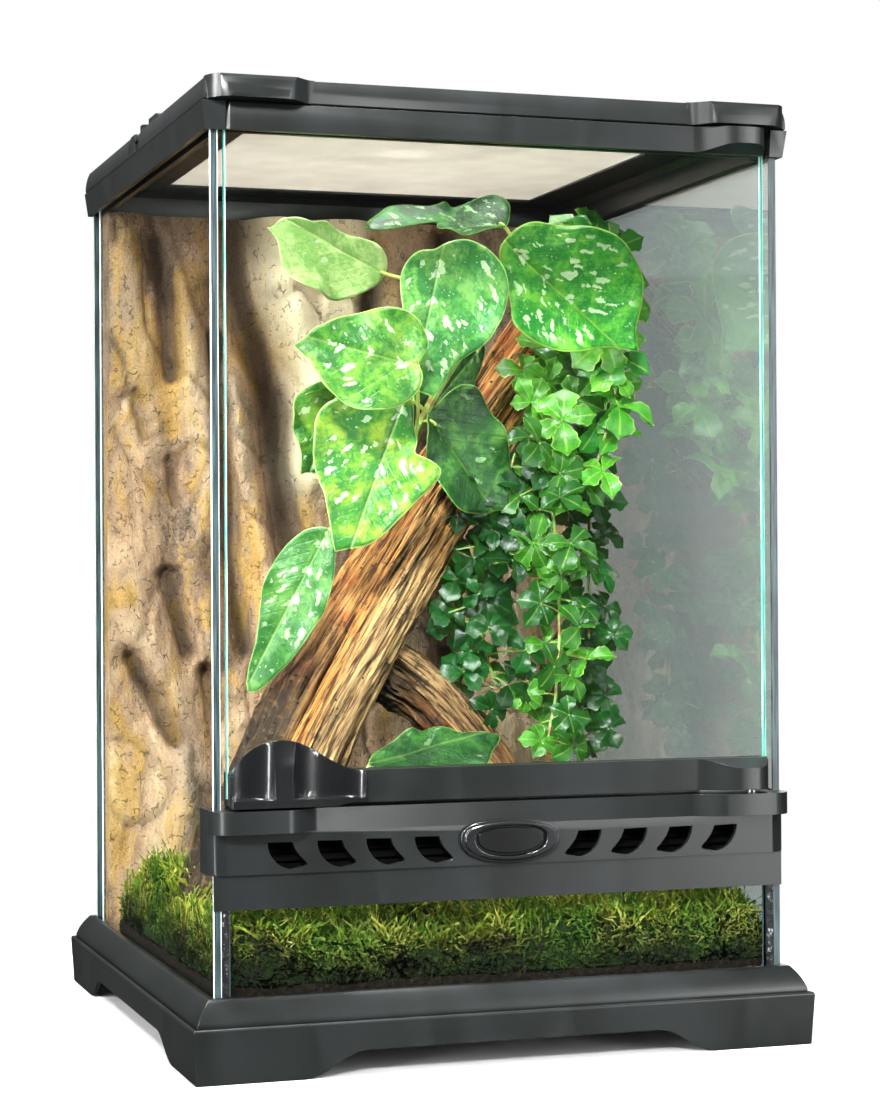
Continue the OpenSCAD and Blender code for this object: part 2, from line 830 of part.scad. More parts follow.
// Broad leaf: its middle, the places of its base and tip, its face, how far its edge lies from the middle
// every 15 degrees round from the tip, its cup, and the end of its stalk
module broad_leaf(middle, base, tip, face, reach, cup, stalk) {
    spokes = len(reach);
    thick = 0.9;
    size = norm(tip - base);
    along = unit(tip - base);
    across = unit(cross(face, along));
    up = cross(along, across);
    function spot(u, v, lift) = middle + u * along + v * across
        + (cup * (v * v - 0.35 * u * abs(u)) / size + lift) * up;
    function ring(s, lift) = [for (k = [0:spokes - 1]) let(a = 360 * k / spokes)
        spot(s * reach[k] * cos(a), s * reach[k] * sin(a), lift)];
    function sheet(lift) = concat([spot(0, 0, lift)], ring(0.5, lift), ring(1, lift));
    half = 1 + 2 * spokes;
    function at(ring, k) = 1 + ring * spokes + k % spokes;
    top = [for (k = [0:spokes - 1]) each [
        [0, at(0, k + 1), at(0, k)],
        [at(0, k), at(0, k + 1), at(1, k + 1)],
        [at(0, k), at(1, k + 1), at(1, k)]
    ]];
    rim = [for (k = [0:spokes - 1]) each [
        [at(1, k), at(1, k + 1), at(1, k + 1) + half],
        [at(1, k), at(1, k + 1) + half, at(1, k) + half]
    ]];
    under = [for (f = top) [f[0] + half, f[2] + half, f[1] + half]];
    root = spot((base - middle) * along + 7, (base - middle) * across, 0);
    polyhedron(concat(sheet(thick / 2), sheet(-thick / 2)), concat(top, rim, under));
    tube(bend(root, root - 8 * along, stalk - 4 * along, stalk, 5), [for (i = [0:5]) 1.2], 6, up);
}

// A broad leaf whose stalk ends at a knot of the climbing stem
module stem_leaf(middle, base, tip, face, cup, knot, reach) {
    color("#4fae35")
        difference() {
            broad_leaf(middle, base, tip, face, reach, cup, stem_line[knot]);
            stem_shape();
        }
}

module leaf_pale() {
    stem_leaf([-41, 18, 402.9], [-6.2, 24.3, 396.1], [-65.8, 20.9, 428.8],
              [0.23, -0.919, 0.322], 0.4, 11,
              [31.4, 30.8, 29.7, 28.7, 27.4, 25.1, 23.4, 23, 23, 22.9, 23.5, 25.1, 28.6, 33.2,
               35.4, 32.1, 26.2, 22.6, 21.1, 21.1, 23.1, 24.1, 30.3, 34.6]);
}

module leaf_upper_left() {
    stem_leaf([-46.1, -68, 341.6], [-19, -69.8, 340], [-78.2, -62.9, 355.5],
              [-0.048, -0.969, 0.242], 0.35, 3,
              [31, 28.3, 26.7, 26.5, 25.6, 26, 27, 27, 27.2, 27.8, 28.9, 30.2, 29.7, 27.2,
               33.7, 35.5, 34.4, 31, 28.4, 26.5, 25.9, 26.4, 28, 32.1]);
}

module leaf_upper_mid() {
    stem_leaf([7, -48, 374.1], [2.2, -44.8, 400.9], [-16.1, -50.6, 324.6],
              [-0.099, -0.99, 0.099], 0.3, 8,
              [43.3, 31.6, 27.5, 26.7, 26.3, 25.8, 27.1, 29.1, 31.6, 33.4, 34.8, 36.4, 36, 33.1,
               30.3, 32.9, 32.5, 30.8, 28.7, 27.4, 27.4, 29.4, 34.7, 48.8]);
}

module leaf_upper_right() {
    stem_leaf([81.9, -30, 386.1], [48.3, -20.7, 409.7], [108.8, -41.1, 352.4],
              [-0.097, -0.966, 0.241], 0.25, 13,
              [41.7, 39.2, 38.2, 38.7, 39.9, 40.2, 39.7, 37.7, 36.3, 36.5, 39.5, 43.3, 44.9, 45.2,
               39.7, 36.8, 38, 41.8, 40, 37.4, 36.4, 35.4, 34.4, 36.3]);
}

module leaf_mid_left() {
    stem_leaf([-58.5, -22, 310.7], [-46.6, -18.9, 330], [-63.2, -24.8, 287.1],
              [0.099, -0.99, 0.099], 0.3, 3,
              [19.8, 23.7, 21.9, 19.7, 17.3, 16.3, 15.6, 15.6, 16.6, 17.6, 20.1, 22.1, 24.2, 24.9,
               23, 21.1, 19.8, 17.9, 15.6, 14.2, 13.6, 13.7, 14.8, 16.7]);
}

module leaf_heart() {
    stem_leaf([-38, -44, 292.2], [-16.4, -38.3, 325.9], [-49.3, -52.1, 248.7],
              [-0.049, -0.979, 0.196], 0.3, 5,
              [43.8, 45, 39.4, 34.3, 32.3, 32.5, 35.5, 37.5, 25.1, 28.5, 32.7, 40.6, 41.7, 39.9,
               38.2, 36.8, 36.8, 34.8, 31.4, 29.7, 28.6, 28.6, 30.2, 36.4]);
}

module leaf_back() {
    stem_leaf([25, 12, 336.6], [46.4, 16.4, 359.4], [5.7, 7.9, 314.9],
              [0.099, -0.99, 0.099], 0.2, 9,
              [28.1, 22.4, 16.3, 13.2, 11.6, 10.9, 11, 11.6, 13.1, 15.7, 19.2, 26.1, 32.4, 26.8,
               21.4, 17.9, 16.3, 15.1, 14.9, 15.8, 17, 19.8, 22.8, 25.9]);
}

module leaf_dark() {
    stem_leaf([30.1, -6, 300.9], [8.3, -6.7, 317.8], [45.4, -8.9, 266.3],
              [0.147, -0.978, 0.147], 0.3, 4,
              [34.1, 32.4, 29.1, 26.5, 24.8, 23.8, 24.3, 24.7, 28, 33.9, 35, 32.5, 29.9, 30,
               27.2, 26.6, 26.9, 27.1, 27.4, 30.2, 33.3, 34.8, 34.7, 36.2]);
}

module leaf_long() {
    stem_leaf([-72, -28, 222.1], [-53.9, -29.6, 259.4], [-98.9, -24.1, 176.4],
              [-0.368, -0.92, 0.138], 0.4, 1,
              [52.6, 38.3, 26.9, 21.1, 17.8, 16.3, 15.9, 15.8, 16.9, 19.1, 22.9, 29.4, 39.1, 37.2,
               31.6, 26.6, 22.6, 19.9, 18.7, 18.8, 18.9, 20.3, 23.5, 31.5]);
}

module leaf_curled() {
    stem_leaf([37.5, 40, 432.2], [67.8, 35.1, 427.6], [-11, 34.2, 426.8],
              [0, -0.684, 0.73], 0.9, 12,
              [45.9, 12.7, 11.8, 12.2, 13.8, 15.6, 17.2, 18.2, 20.3, 23.9, 27.3, 30.8, 33.8, 36.1,
               31.7, 17.3, 13.4, 11.3, 10.8, 11.3, 12.9, 18.3, 31.8, 40]);
}

module leaf_low_shape() {
    broad_leaf([-14.1, -74, 143.9], [-53.4, -81.4, 137], [27.2, -60.2, 156.8],
              [0, -0.684, 0.73],
               [41.8, 25.3, 20.2, 17.8, 16.9, 15.8, 15.8, 15.9, 17.1, 19.5, 24.4, 33, 38.3, 30.1,
                24.2, 20.4, 18.7, 18.3, 18.8, 20.9, 23.8, 28.1, 30.6, 34.6], 0.4, [-60, -84, soil_z + 4]);
}

module leaf_low() {
    color("#4fae35") leaf_low_shape();
}

// Oval leaflet, a few faces, from its foot to its point
module leaflet(foot, out, face) {
    n = 6;
    size = norm(out);
    along = unit(out);
    across = unit(cross(face, along));
    up = cross(along, across);
    rim = [for (i = [0:n - 1]) let(a = 360 * i / n)
        foot + size * (0.5 - 0.55 * cos(a)) * along + 0.34 * size * sin(a) * across
            + 0.12 * size * abs(sin(a)) * up];
    mid = foot + size * 0.5 * along;
    polyhedron(concat(rim, [mid + 0.7 * up, mid - 0.7 * up]),
        [for (k = [0:n - 1]) each [[k, (k + 1) % n, n], [(k + 1) % n, k, n + 1]]]);
}

// Creeping vine: a stem with pairs of leaflets that turn as they climb, clear of the log
module vine(line, pairs, size) {
    last = len(line) - 1;
    color("#3f9a33")
        difference() {
            union() {
                tube(line, [for (p = line) 1.1], 6);
                for (i = [1:pairs]) {
                    s = size * (1 + 0.25 * sin(97 * i));
                    for (turn = [137 * i, 137 * i + 160])
                        leaflet(line[round(last * i / pairs)],
                                s * [cos(turn), 0.8 * sin(turn), 0.3 + 0.3 * sin(71 * i)],
                                [0.2, -1, 0.8]);
                }
            }
            log_shape(0.1);
        }
}

module vine_front() {
    vine(bend([112, 36, 432], [134, 4, 430], [126, -14, 360], [106, 2, 288], 14), 13, 15);
}

module vine_middle() {
    vine(bend([96, 38, 362], [56, -24, 310], [100, 0, 219], [72, -10, 136], 14), 13, 14);
}

module vine_rear() {
    vine(bend([118, 54, 376], [128, 44, 300], [112, 40, 207], [118, 30, 138], 12), 11, 13);
}

module vine_low() {
    vine(bend([66, 18, 300], [54, 2, 274], [22, 12, 224], [56, 8, 162], 12), 11, 12);
}

base_frame();
bottom_pane();
left_pane();
right_pane();
rear_pane();
front_lower_pane();
silicone_seams();
vent_bar();
vent_insert();
badge_bezel();
badge_plate();
door_catch();
top_frame();
door_glass();
door_top_rail();
door_bottom_rail();
door_grip();
hinge_pin_top();
hinge_pin_bottom();
lid_frame();
lid_side_edges();
lid_mesh();
lid_lock_left();
lid_lock_right();
inlet_gate_left();
inlet_gate_right();
rock_background();
soil_bed();
moss_bed();
driftwood_log();
driftwood_branch();
climbing_stem();
leaf_pale();
leaf_upper_left();
leaf_upper_mid();
leaf_upper_right();
leaf_mid_left();
leaf_heart();
leaf_back();
leaf_dark();
leaf_long();
leaf_curled();
leaf_low();
vine_front();
vine_middle();
vine_rear();
vine_low();
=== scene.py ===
"""Reptile terrarium: a front-opening glass tank with a screen cover, planted with creepers on driftwood.

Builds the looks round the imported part, in the part's own frame: +Z up, the door at -Y. What Blender gets is
in metres. Tables and shape rules are in millimetres, and MM turns one into the other.
"""

import functools
import math
import random

import bmesh
import bpy
import numpy as np
from mathutils import Matrix, Vector, noise


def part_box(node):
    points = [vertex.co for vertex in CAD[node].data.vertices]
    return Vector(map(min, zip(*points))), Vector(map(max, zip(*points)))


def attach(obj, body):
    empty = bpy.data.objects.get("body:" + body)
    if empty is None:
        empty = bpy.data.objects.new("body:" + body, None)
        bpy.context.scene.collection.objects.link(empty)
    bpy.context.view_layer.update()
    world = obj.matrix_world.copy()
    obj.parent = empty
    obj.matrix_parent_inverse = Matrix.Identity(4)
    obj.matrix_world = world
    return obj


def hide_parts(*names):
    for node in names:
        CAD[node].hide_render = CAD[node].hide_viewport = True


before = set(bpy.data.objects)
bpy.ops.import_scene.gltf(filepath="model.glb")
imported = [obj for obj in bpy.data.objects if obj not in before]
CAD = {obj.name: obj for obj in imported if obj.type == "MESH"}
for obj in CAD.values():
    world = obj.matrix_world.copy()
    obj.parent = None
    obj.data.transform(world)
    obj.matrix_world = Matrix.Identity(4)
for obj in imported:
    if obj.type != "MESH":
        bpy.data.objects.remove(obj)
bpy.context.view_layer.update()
MM = 0.001
SEED = 11

# ---------- small tools ----------


def srgb(code):
    """Linear colour of an sRGB hex value."""
    parts = [int(code[i : i + 2], 16) / 255 for i in (1, 3, 5)]
    return tuple(c / 12.92 if c <= 0.04045 else ((c + 0.055) / 1.055) ** 2.4 for c in parts) + (1.0,)


def node(tree, kind, sockets=(), out=0, stops=(), **settings):
    """Adds one shader node and gives back one of its outputs.

    sockets feeds its inputs in order, or by name or number: an output is linked, a number or hex colour set.
    settings are the node's own properties, and stops the places and colours of a ramp.
    """
    made = tree.nodes.new("ShaderNode" + kind)
    for key, value in settings.items():
        setattr(made, key, value)
    for key, value in sockets.items() if isinstance(sockets, dict) else enumerate(sockets):
        if isinstance(value, bpy.types.NodeSocket):
            tree.links.new(value, made.inputs[key])
        else:
            made.inputs[key].default_value = srgb(value) if isinstance(value, str) else value
    for count, (at, code) in enumerate(stops):
        band = made.color_ramp.elements
        mark = band[count] if count < 2 else band.new(at)
        mark.position = at
        mark.color = srgb(code)
    return made.outputs[out] if made.outputs else made


# A Mix node that blends colours: input 0 is the second colour's share, 6 the first colour and 7 the second
COLOURS = {"out": 2, "data_type": "RGBA"}


def new_finish(name):
    """Empty material: it, the tool that adds nodes to it, and the object coordinates in metres.

    A texture on those coordinates with a Scale of 1000 / 26 has features 26 mm across.
    """
    material = bpy.data.materials.new(name)
    material.use_nodes = True
    material.node_tree.nodes.clear()
    add = functools.partial(node, material.node_tree)
    return material, add, add("TexCoord", out="Object")


def as_mesh(shape, name):
    """Turns a bmesh into a mesh."""
    mesh = bpy.data.meshes.new(name)
    shape.to_mesh(mesh)
    shape.free()
    return mesh


def show(name, shape, finishes, stands_for=(), body="tank", smooth=40):
    """Makes a piece from a bmesh or a mesh that is in place, and lets it ride on its body."""
    mesh = as_mesh(shape, name) if isinstance(shape, bmesh.types.BMesh) else shape
    mesh.name = name
    for finish in finishes:
        mesh.materials.append(finish)
    if smooth:
        mesh.shade_smooth()
        mesh.set_sharp_from_angle(angle=math.radians(smooth))
    piece = bpy.data.objects.new(name, mesh)
    bpy.context.scene.collection.objects.link(piece)
    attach(piece, body)
    if stands_for:
        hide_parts(*stands_for)
    return piece


def skirt(shape, axis, level):
    """Closes an open sheet: its rim is pushed out to a level along one axis, in metres, and filled there."""
    rim = [edge for edge in shape.edges if edge.is_boundary]
    for made in bmesh.ops.extrude_edge_only(shape, edges=rim)["geom"]:
        if isinstance(made, bmesh.types.BMVert):
            made.co[axis] = level
    bmesh.ops.contextual_create(shape, geom=[edge for edge in shape.edges if edge.is_boundary])
    bmesh.ops.recalc_face_normals(shape, faces=shape.faces)


def bezier(a, b, c, d, t):
    """Point on the curve of four control points."""
    s = 1 - t
    return s**3 * a + 3 * s * s * t * b + 3 * s * t * t * c + t**3 * d


def frame_along(line, t, lean=Vector((0, 1, 0))):
    """Point, tangent and two directions across a curve of four control points."""
    step = 0.004
    here = bezier(*line, t)
    ahead = (bezier(*line, min(1, t + step)) - bezier(*line, max(0, t - step))).normalized()
    side = ahead.cross(lean).normalized()
    return here, ahead, side, ahead.cross(side)


def swell(t):
    """Smooth step from 0 to 1."""
    t = np.clip(t, 0, 1)
    return t * t * (3 - 2 * t)


# ---------- finishes: plastic, glass, metal ----------


def moulded_plastic(name, colour, worn, rough, grain_depth=0.02, coat=0.0, shine=0.36):
    """Injection-moulded polystyrene: a satin skin whose faint flow marks show in the highlights."""
    material, add, where = new_finish(name)
    tall = add("Mapping", {"Vector": where, "Scale": (1, 1, 0.35)})
    flow = add("TexNoise", {"Vector": tall, "Scale": 1000 / 26, "Detail": 2, "Distortion": 0.6})
    fine = add("TexNoise", {"Vector": where, "Scale": 1000 / 0.9, "Detail": 2})
    marks = add("MapRange", [flow, 0.35, 0.65, 0, 1])
    tint = add("Mix", {0: marks, 6: colour, 7: worn}, **COLOURS)
    sheen = add("MapRange", [flow, 0.3, 0.7, rough - 0.02, rough + 0.02])
    skin = add("Bump", {"Height": fine, "Distance": grain_depth * MM, "Strength": 0.5})
    look = {"Base Color": tint, "Roughness": sheen, "Normal": skin, "IOR": 1.5, "Specular IOR Level": shine}
    look |= {"Coat Weight": coat, "Coat Roughness": 0.08}
    add("OutputMaterial", [add("BsdfPrincipled", look)])
    return material


def float_glass(name, tint, reflection_veil=0.0, reflection_veil_tint="#5f6468", mirror=1.0):
    """Soda-lime float glass, 4 mm: clear face on, more of a mirror at a glancing angle; a grey veil, a
    painted reflection of the grey surroundings, dims it at a glancing angle.
    """
    material, add, where = new_finish(name)
    glance = add("LayerWeight", {"Blend": 0.5}, out="Facing")
    # Schlick's curve for an index of 1.5, for one face of the pane
    steep = add("Math", [glance, 5.0], operation="POWER")
    curve = add("Math", [steep, 0.96 * mirror, 0.03 * mirror], operation="MULTIPLY_ADD", use_clamp=True)
    clear = add("BsdfTransparent", {"Color": tint})
    if reflection_veil:
        cloud = add("TexNoise", {"Vector": where, "Scale": 1000 / 90, "Detail": 3})
        thick = add("MapRange", [cloud, 0.35, 0.65, 0.8 * reflection_veil, reflection_veil])
        # painted reflection: the grey veil shows mostly at a glancing angle
        slanted = add("MapRange", [glance, 0.48, 0.66, 0.12, 1], interpolation_type="SMOOTHSTEP")
        share = add("Math", [thick, slanted], operation="MULTIPLY")
        veil = add("BsdfTransparent", {"Color": reflection_veil_tint})
        clear = add("MixShader", [share, clear, veil])
    gloss = add("BsdfGlossy", {"Color": "#ffffff", "Roughness": 0.015})
    add("OutputMaterial", [add("MixShader", [curve, clear, gloss])])
    return material


def cut_edge(name, deep, pale, rough, glow):
    """Ground edge of a pane, streaked by the grinding; its glow is painted light, emission standing in for
    light piped through the glass that comes out green.
    """
    material, add, where = new_finish(name)
    tall = add("Mapping", {"Vector": where, "Scale": (1.5, 1.5, 0.05)})
    streak = add("TexNoise", {"Vector": tall, "Scale": 1000 / 1.2, "Detail": 3})
    share = add("MapRange", [streak, 0.35, 0.7, 0, 1])
    colour = add("Mix", {0: share, 6: deep, 7: pale}, **COLOURS)
    # painted light: with glow above 0 the edge lights itself by emission
    look = {"Base Color": colour, "Emission Color": colour, "Emission Strength": glow, "Roughness": rough}
    add("OutputMaterial", [add("BsdfPrincipled", look | {"IOR": 1.52})])
    return material


def silicone_bead(name):
    """Acetoxy silicone, black: glossy, lumpy where the gun stopped and the tool smeared it."""
    material, add, where = new_finish(name)
    lumps = add("TexNoise", {"Vector": where, "Scale": 1000 / 2.4, "Detail": 4, "Roughness": 0.65})
    tone = add("ValToRGB", [lumps], stops=[(0.4, "#060707"), (0.7, "#8a9094"), (0.58, "#17191a")])
    skin = add("Bump", {"Height": lumps, "Distance": 0.8 * MM})
    look = {"Base Color": tone, "Normal": skin, "Roughness": 0.28, "IOR": 1.41}
    add("OutputMaterial", [add("BsdfPrincipled", look)])
    return material


def bright_steel(name):
    """Turned stainless steel pin: fine rings across its length."""
    material, add, where = new_finish(name)
    rings = add("Mapping", {"Vector": where, "Scale": (0.05, 0.05, 1)})
    marks = add("TexNoise", {"Vector": rings, "Scale": 1000 / 0.25})
    sheen = add("MapRange", [marks, 0.3, 0.7, 0.22, 0.38])
    skin = add("Bump", {"Height": marks, "Distance": 0.01 * MM, "Strength": 0.5})
    look = {"Base Color": "#b9bcbe", "Metallic": 1.0, "Roughness": sheen, "Normal": skin}
    add("OutputMaterial", [add("BsdfPrincipled", look)])
    return material


def screen_wire(name):
    """Fine woven wire: lacquered cream below, its top side painted dark grey as shade against the lamp above,
    with the light from above coming through.
    """
    material, add, where = new_finish(name)
    patch = add("TexNoise", {"Vector": where, "Scale": 1000 / 18, "Detail": 3})
    cream = add("ValToRGB", [patch], stops=[(0.3, "#c9c4bc"), (0.7, "#d6d1c8")])
    lit = add("ValToRGB", [patch], stops=[(0.3, "#e6e0da"), (0.7, "#f2ede8")])
    _, _, up = add("SeparateXYZ", [add("TexCoord", out="Normal")]).node.outputs
    # painted shade: the top side is taken near black against the lamp above
    shaded_top = add("MapRange", [up, -0.1, 0.5, 0, 1])
    cream_with_shaded_top = add("Mix", {0: shaded_top, 6: cream, 7: "#1c1c1b"}, **COLOURS)
    face = add("BsdfPrincipled", {"Base Color": cream_with_shaded_top, "Roughness": 0.7, "Specular IOR Level": 0.2})
    through = add("BsdfTranslucent", {"Color": lit})
    add("OutputMaterial", [add("MixShader", [0.66, face, through])])
    return material


# ---------- finishes: planting ----------


def cast_rock(name):
    """Cast foam rock, painted in thin washes: mauve-brown, ochre runs, cream painted highlights on the swells
    and ridges, painted shade in the creases and up under the cover.
    """
    material, add, where = new_finish(name)
    tall = add("Mapping", {"Vector": where, "Scale": (1, 1, 0.4), "Rotation": (0, 0.28, 0)})
    run = add("Mapping", {"Vector": where, "Scale": (1, 1, 0.35), "Rotation": (0, -0.4, 0)})
    soft = {"Detail": 7, "Roughness": 0.66, "Distortion": 0.6}
    broad = add("TexNoise", {"Vector": tall, "Scale": 1000 / 34} | soft)
    streaky = {"Detail": 5, "Roughness": 0.6, "Distortion": 1.0}
    wash = add("TexNoise", {"Vector": run, "Scale": 1000 / 21} | streaky)
    grit = add("TexNoise", {"Vector": where, "Scale": 1000 / 1.3, "Detail": 4, "Roughness": 0.7})
    browns = [(0.32, "#4a362a"), (0.62, "#ad8d70"), (0.42, "#7a5e4b"), (0.52, "#957258"), (0.72, "#ccb694")]
    base = add("ValToRGB", [broad], stops=browns)
    ochre = add("MapRange", [wash, 0.5, 0.6, 0, 0.7])
    # the carver's attribute: how much painted shade a spot gets in its furrows, creases and the hollow behind
    # the leaves, how much painted highlight on the pale ridges, and how far it swells forward
    spot = add("Attribute", out="Vector", attribute_name="shade_highlight_relief")
    deep, pale, high = add("SeparateXYZ", [spot]).node.outputs
    # painted highlight: cream over the spots that swell furthest forward
    swell_highlight = add("MapRange", [high, 0.5, 1.2, 0, 0.3])
    # painted highlight, near white, along the two pale ridges
    bare = add("Math", [pale, 0.9], operation="MULTIPLY", use_clamp=True)
    # painted shade: brown, up under the cover, away from the highlit ridges
    _, _, level = add("SeparateXYZ", [where]).node.outputs
    near_top = add("MapRange", [level, 0.3, 0.43, 0, 0.3])
    off_highlight = add("Math", [1.0, bare], operation="SUBTRACT")
    painted_shade_under_cover = add("Math", [near_top, off_highlight], operation="MULTIPLY")
    # short crazing, 5 mm cells, only in patches, and blown pits about 1 mm across
    shift = add("TexNoise", {"Vector": where, "Scale": 1000 / 6, "Detail": 2}, out="Color")
    bend = add("VectorMath", {0: shift, "Scale": 0.006}, operation="SCALE")
    bent = add("VectorMath", [where, bend], operation="ADD")
    cell = add("TexVoronoi", {"Vector": bent, "Scale": 1000 / 5.5}, feature="DISTANCE_TO_EDGE")
    thin = add("MapRange", [cell, 0.0, 0.07, 1, 0])
    patch = add("TexNoise", {"Vector": where, "Scale": 1000 / 5, "Detail": 3})
    here = add("MapRange", [patch, 0.53, 0.6, 0, 1])
    crazing = add("Math", [thin, here], operation="MULTIPLY")
    lined = add("Math", [crazing, 0.6], operation="MULTIPLY")
    speck = add("TexNoise", {"Vector": where, "Scale": 1000 / 1.9, "Detail": 2})
    pits = add("MapRange", [speck, 0.68, 0.74, 0, 0.75])
    dust = add("MapRange", [grit, 0.4, 0.75, 0, 0.22])
    # painted shade: near black in the furrows, creases and the hollow behind the leaves
    crease = add("Math", [deep, 0.85], operation="MULTIPLY", use_clamp=True)
    # the washes in the order they go on, painted highlights and painted shade among them
    colour = base
    for share, paint in (
        (ochre, "#a67a20"),
        (swell_highlight, "#dccbb0"),
        (bare, "#f2e2c0"),
        (painted_shade_under_cover, "#5c4334"),
        (lined, "#35261b"),
        (pits, "#38281c"),
        (dust, "#eadbc0"),
        (crease, "#1d120a"),
    ):
        colour = add("Mix", {0: share, 6: colour, 7: paint}, **COLOURS)
    rough = add("Math", [wash, 1.6, broad], operation="MULTIPLY_ADD")
    gritty = add("Math", [grit, 0.3, rough], operation="MULTIPLY_ADD")
    height = add("Math", [crazing, -0.35, gritty], operation="MULTIPLY_ADD")
    skin = add("Bump", {"Height": height, "Distance": 2.6 * MM, "Strength": 0.9})
    look = {"Base Color": colour, "Normal": skin, "Roughness": 0.85, "Specular IOR Level": 0.22}
    add("OutputMaterial", [add("BsdfPrincipled", look)])
    return material


def weathered_wood(name, light, mid, dark, bare_light, bare_dark):
    """Weathered driftwood, sandblasted by the river: soft grain worn back, checks black along the length."""
    material, add, _ = new_finish(name)
    # the turner's attribute: millimetres round the log, along it and out from its heart
    spot = add("Attribute", out="Vector", attribute_name="grain")
    run = add("Mapping", {"Vector": spot, "Scale": (1.0, 0.05, 1.0)})
    fibre = add("TexNoise", {"Vector": run, "Scale": 1 / 1.2, "Detail": 4, "Roughness": 0.7})
    banded = {"Detail": 6, "Roughness": 0.7, "Distortion": 0.3}
    bands = add("TexNoise", {"Vector": run, "Scale": 1 / 3.6} | banded)
    patch = add("TexNoise", {"Vector": spot, "Scale": 1 / 24, "Detail": 4, "Roughness": 0.6})
    sound = add("ValToRGB", [bands], stops=[(0.3, dark), (0.7, "#f0c88e"), (0.43, mid), (0.56, light)])
    lines = add("MapRange", [fibre, 0.42, 0.52, 0.9, 0])
    streaked = add("Mix", {0: lines, 6: sound, 7: "#54331a"}, blend_type="MULTIPLY", **COLOURS)
    rust = add("MapRange", [patch, 0.5, 0.66, 0, 0.55])
    rusty = add("Mix", {0: rust, 6: streaked, 7: "#b0652b"}, blend_type="OVERLAY", **COLOURS)
    # the same turner's second attribute: open checks, bare wood and clinging bark
    wear = add("Attribute", out="Vector", attribute_name="worn")
    check, stripped, clad = add("SeparateXYZ", [wear]).node.outputs
    straws = [(0.32, "#3c2615"), (0.66, bare_light), (0.42, bare_dark), (0.5, bare_light)]
    bared = add("ValToRGB", [bands], stops=straws)
    straw = add("Mix", {0: lines, 6: bared, 7: "#6b4a2c"}, blend_type="MULTIPLY", **COLOURS)
    split = add("TexNoise", {"Vector": run, "Scale": 1 / 2.3, "Detail": 2, "Distortion": 0.3})
    open_split = add("MapRange", [split, 0.33, 0.37, 0.9, 0])
    lumps = add("TexNoise", {"Vector": spot, "Scale": 1 / 4, "Detail": 6, "Roughness": 0.75})
    flakes = add("ValToRGB", [lumps], stops=[(0.42, "#0c0906"), (0.66, "#6b523a"), (0.54, "#241b14")])
    soot = add("TexNoise", {"Vector": spot, "Scale": 1 / 15, "Detail": 5, "Roughness": 0.68})
    burnt = add("MapRange", [soot, 0.58, 0.66, 0, 0.85])
    # worm holes 1.5 mm across, a few to each hand's breadth
    holes = add("TexVoronoi", {"Vector": spot, "Scale": 1 / 9})
    bored = add("MapRange", [holes, 0.06, 0.1, 1, 0])
    # what lies over the sound wood, from the bottom up
    colour = rusty
    for share, over in (
        (stripped, straw),
        (open_split, "#22130a"),
        (clad, flakes),
        (burnt, "#20130b"),
        (bored, "#120a05"),
        (check, "#100804"),
    ):
        colour = add("Mix", {0: share, 6: colour, 7: over}, **COLOURS)
    coarse = add("Math", [bands, 1.6, fibre], operation="MULTIPLY_ADD")
    opened = add("Math", [open_split, -0.5, coarse], operation="MULTIPLY_ADD")
    height = add("Math", [bored, -0.6, opened], operation="MULTIPLY_ADD")
    skin = add("Bump", {"Height": height, "Distance": 1.5 * MM, "Strength": 0.9})
    look = {"Base Color": colour, "Normal": skin, "Roughness": 0.66, "Specular IOR Level": 0.35}
    add("OutputMaterial", [add("BsdfPrincipled", look)])
    return material


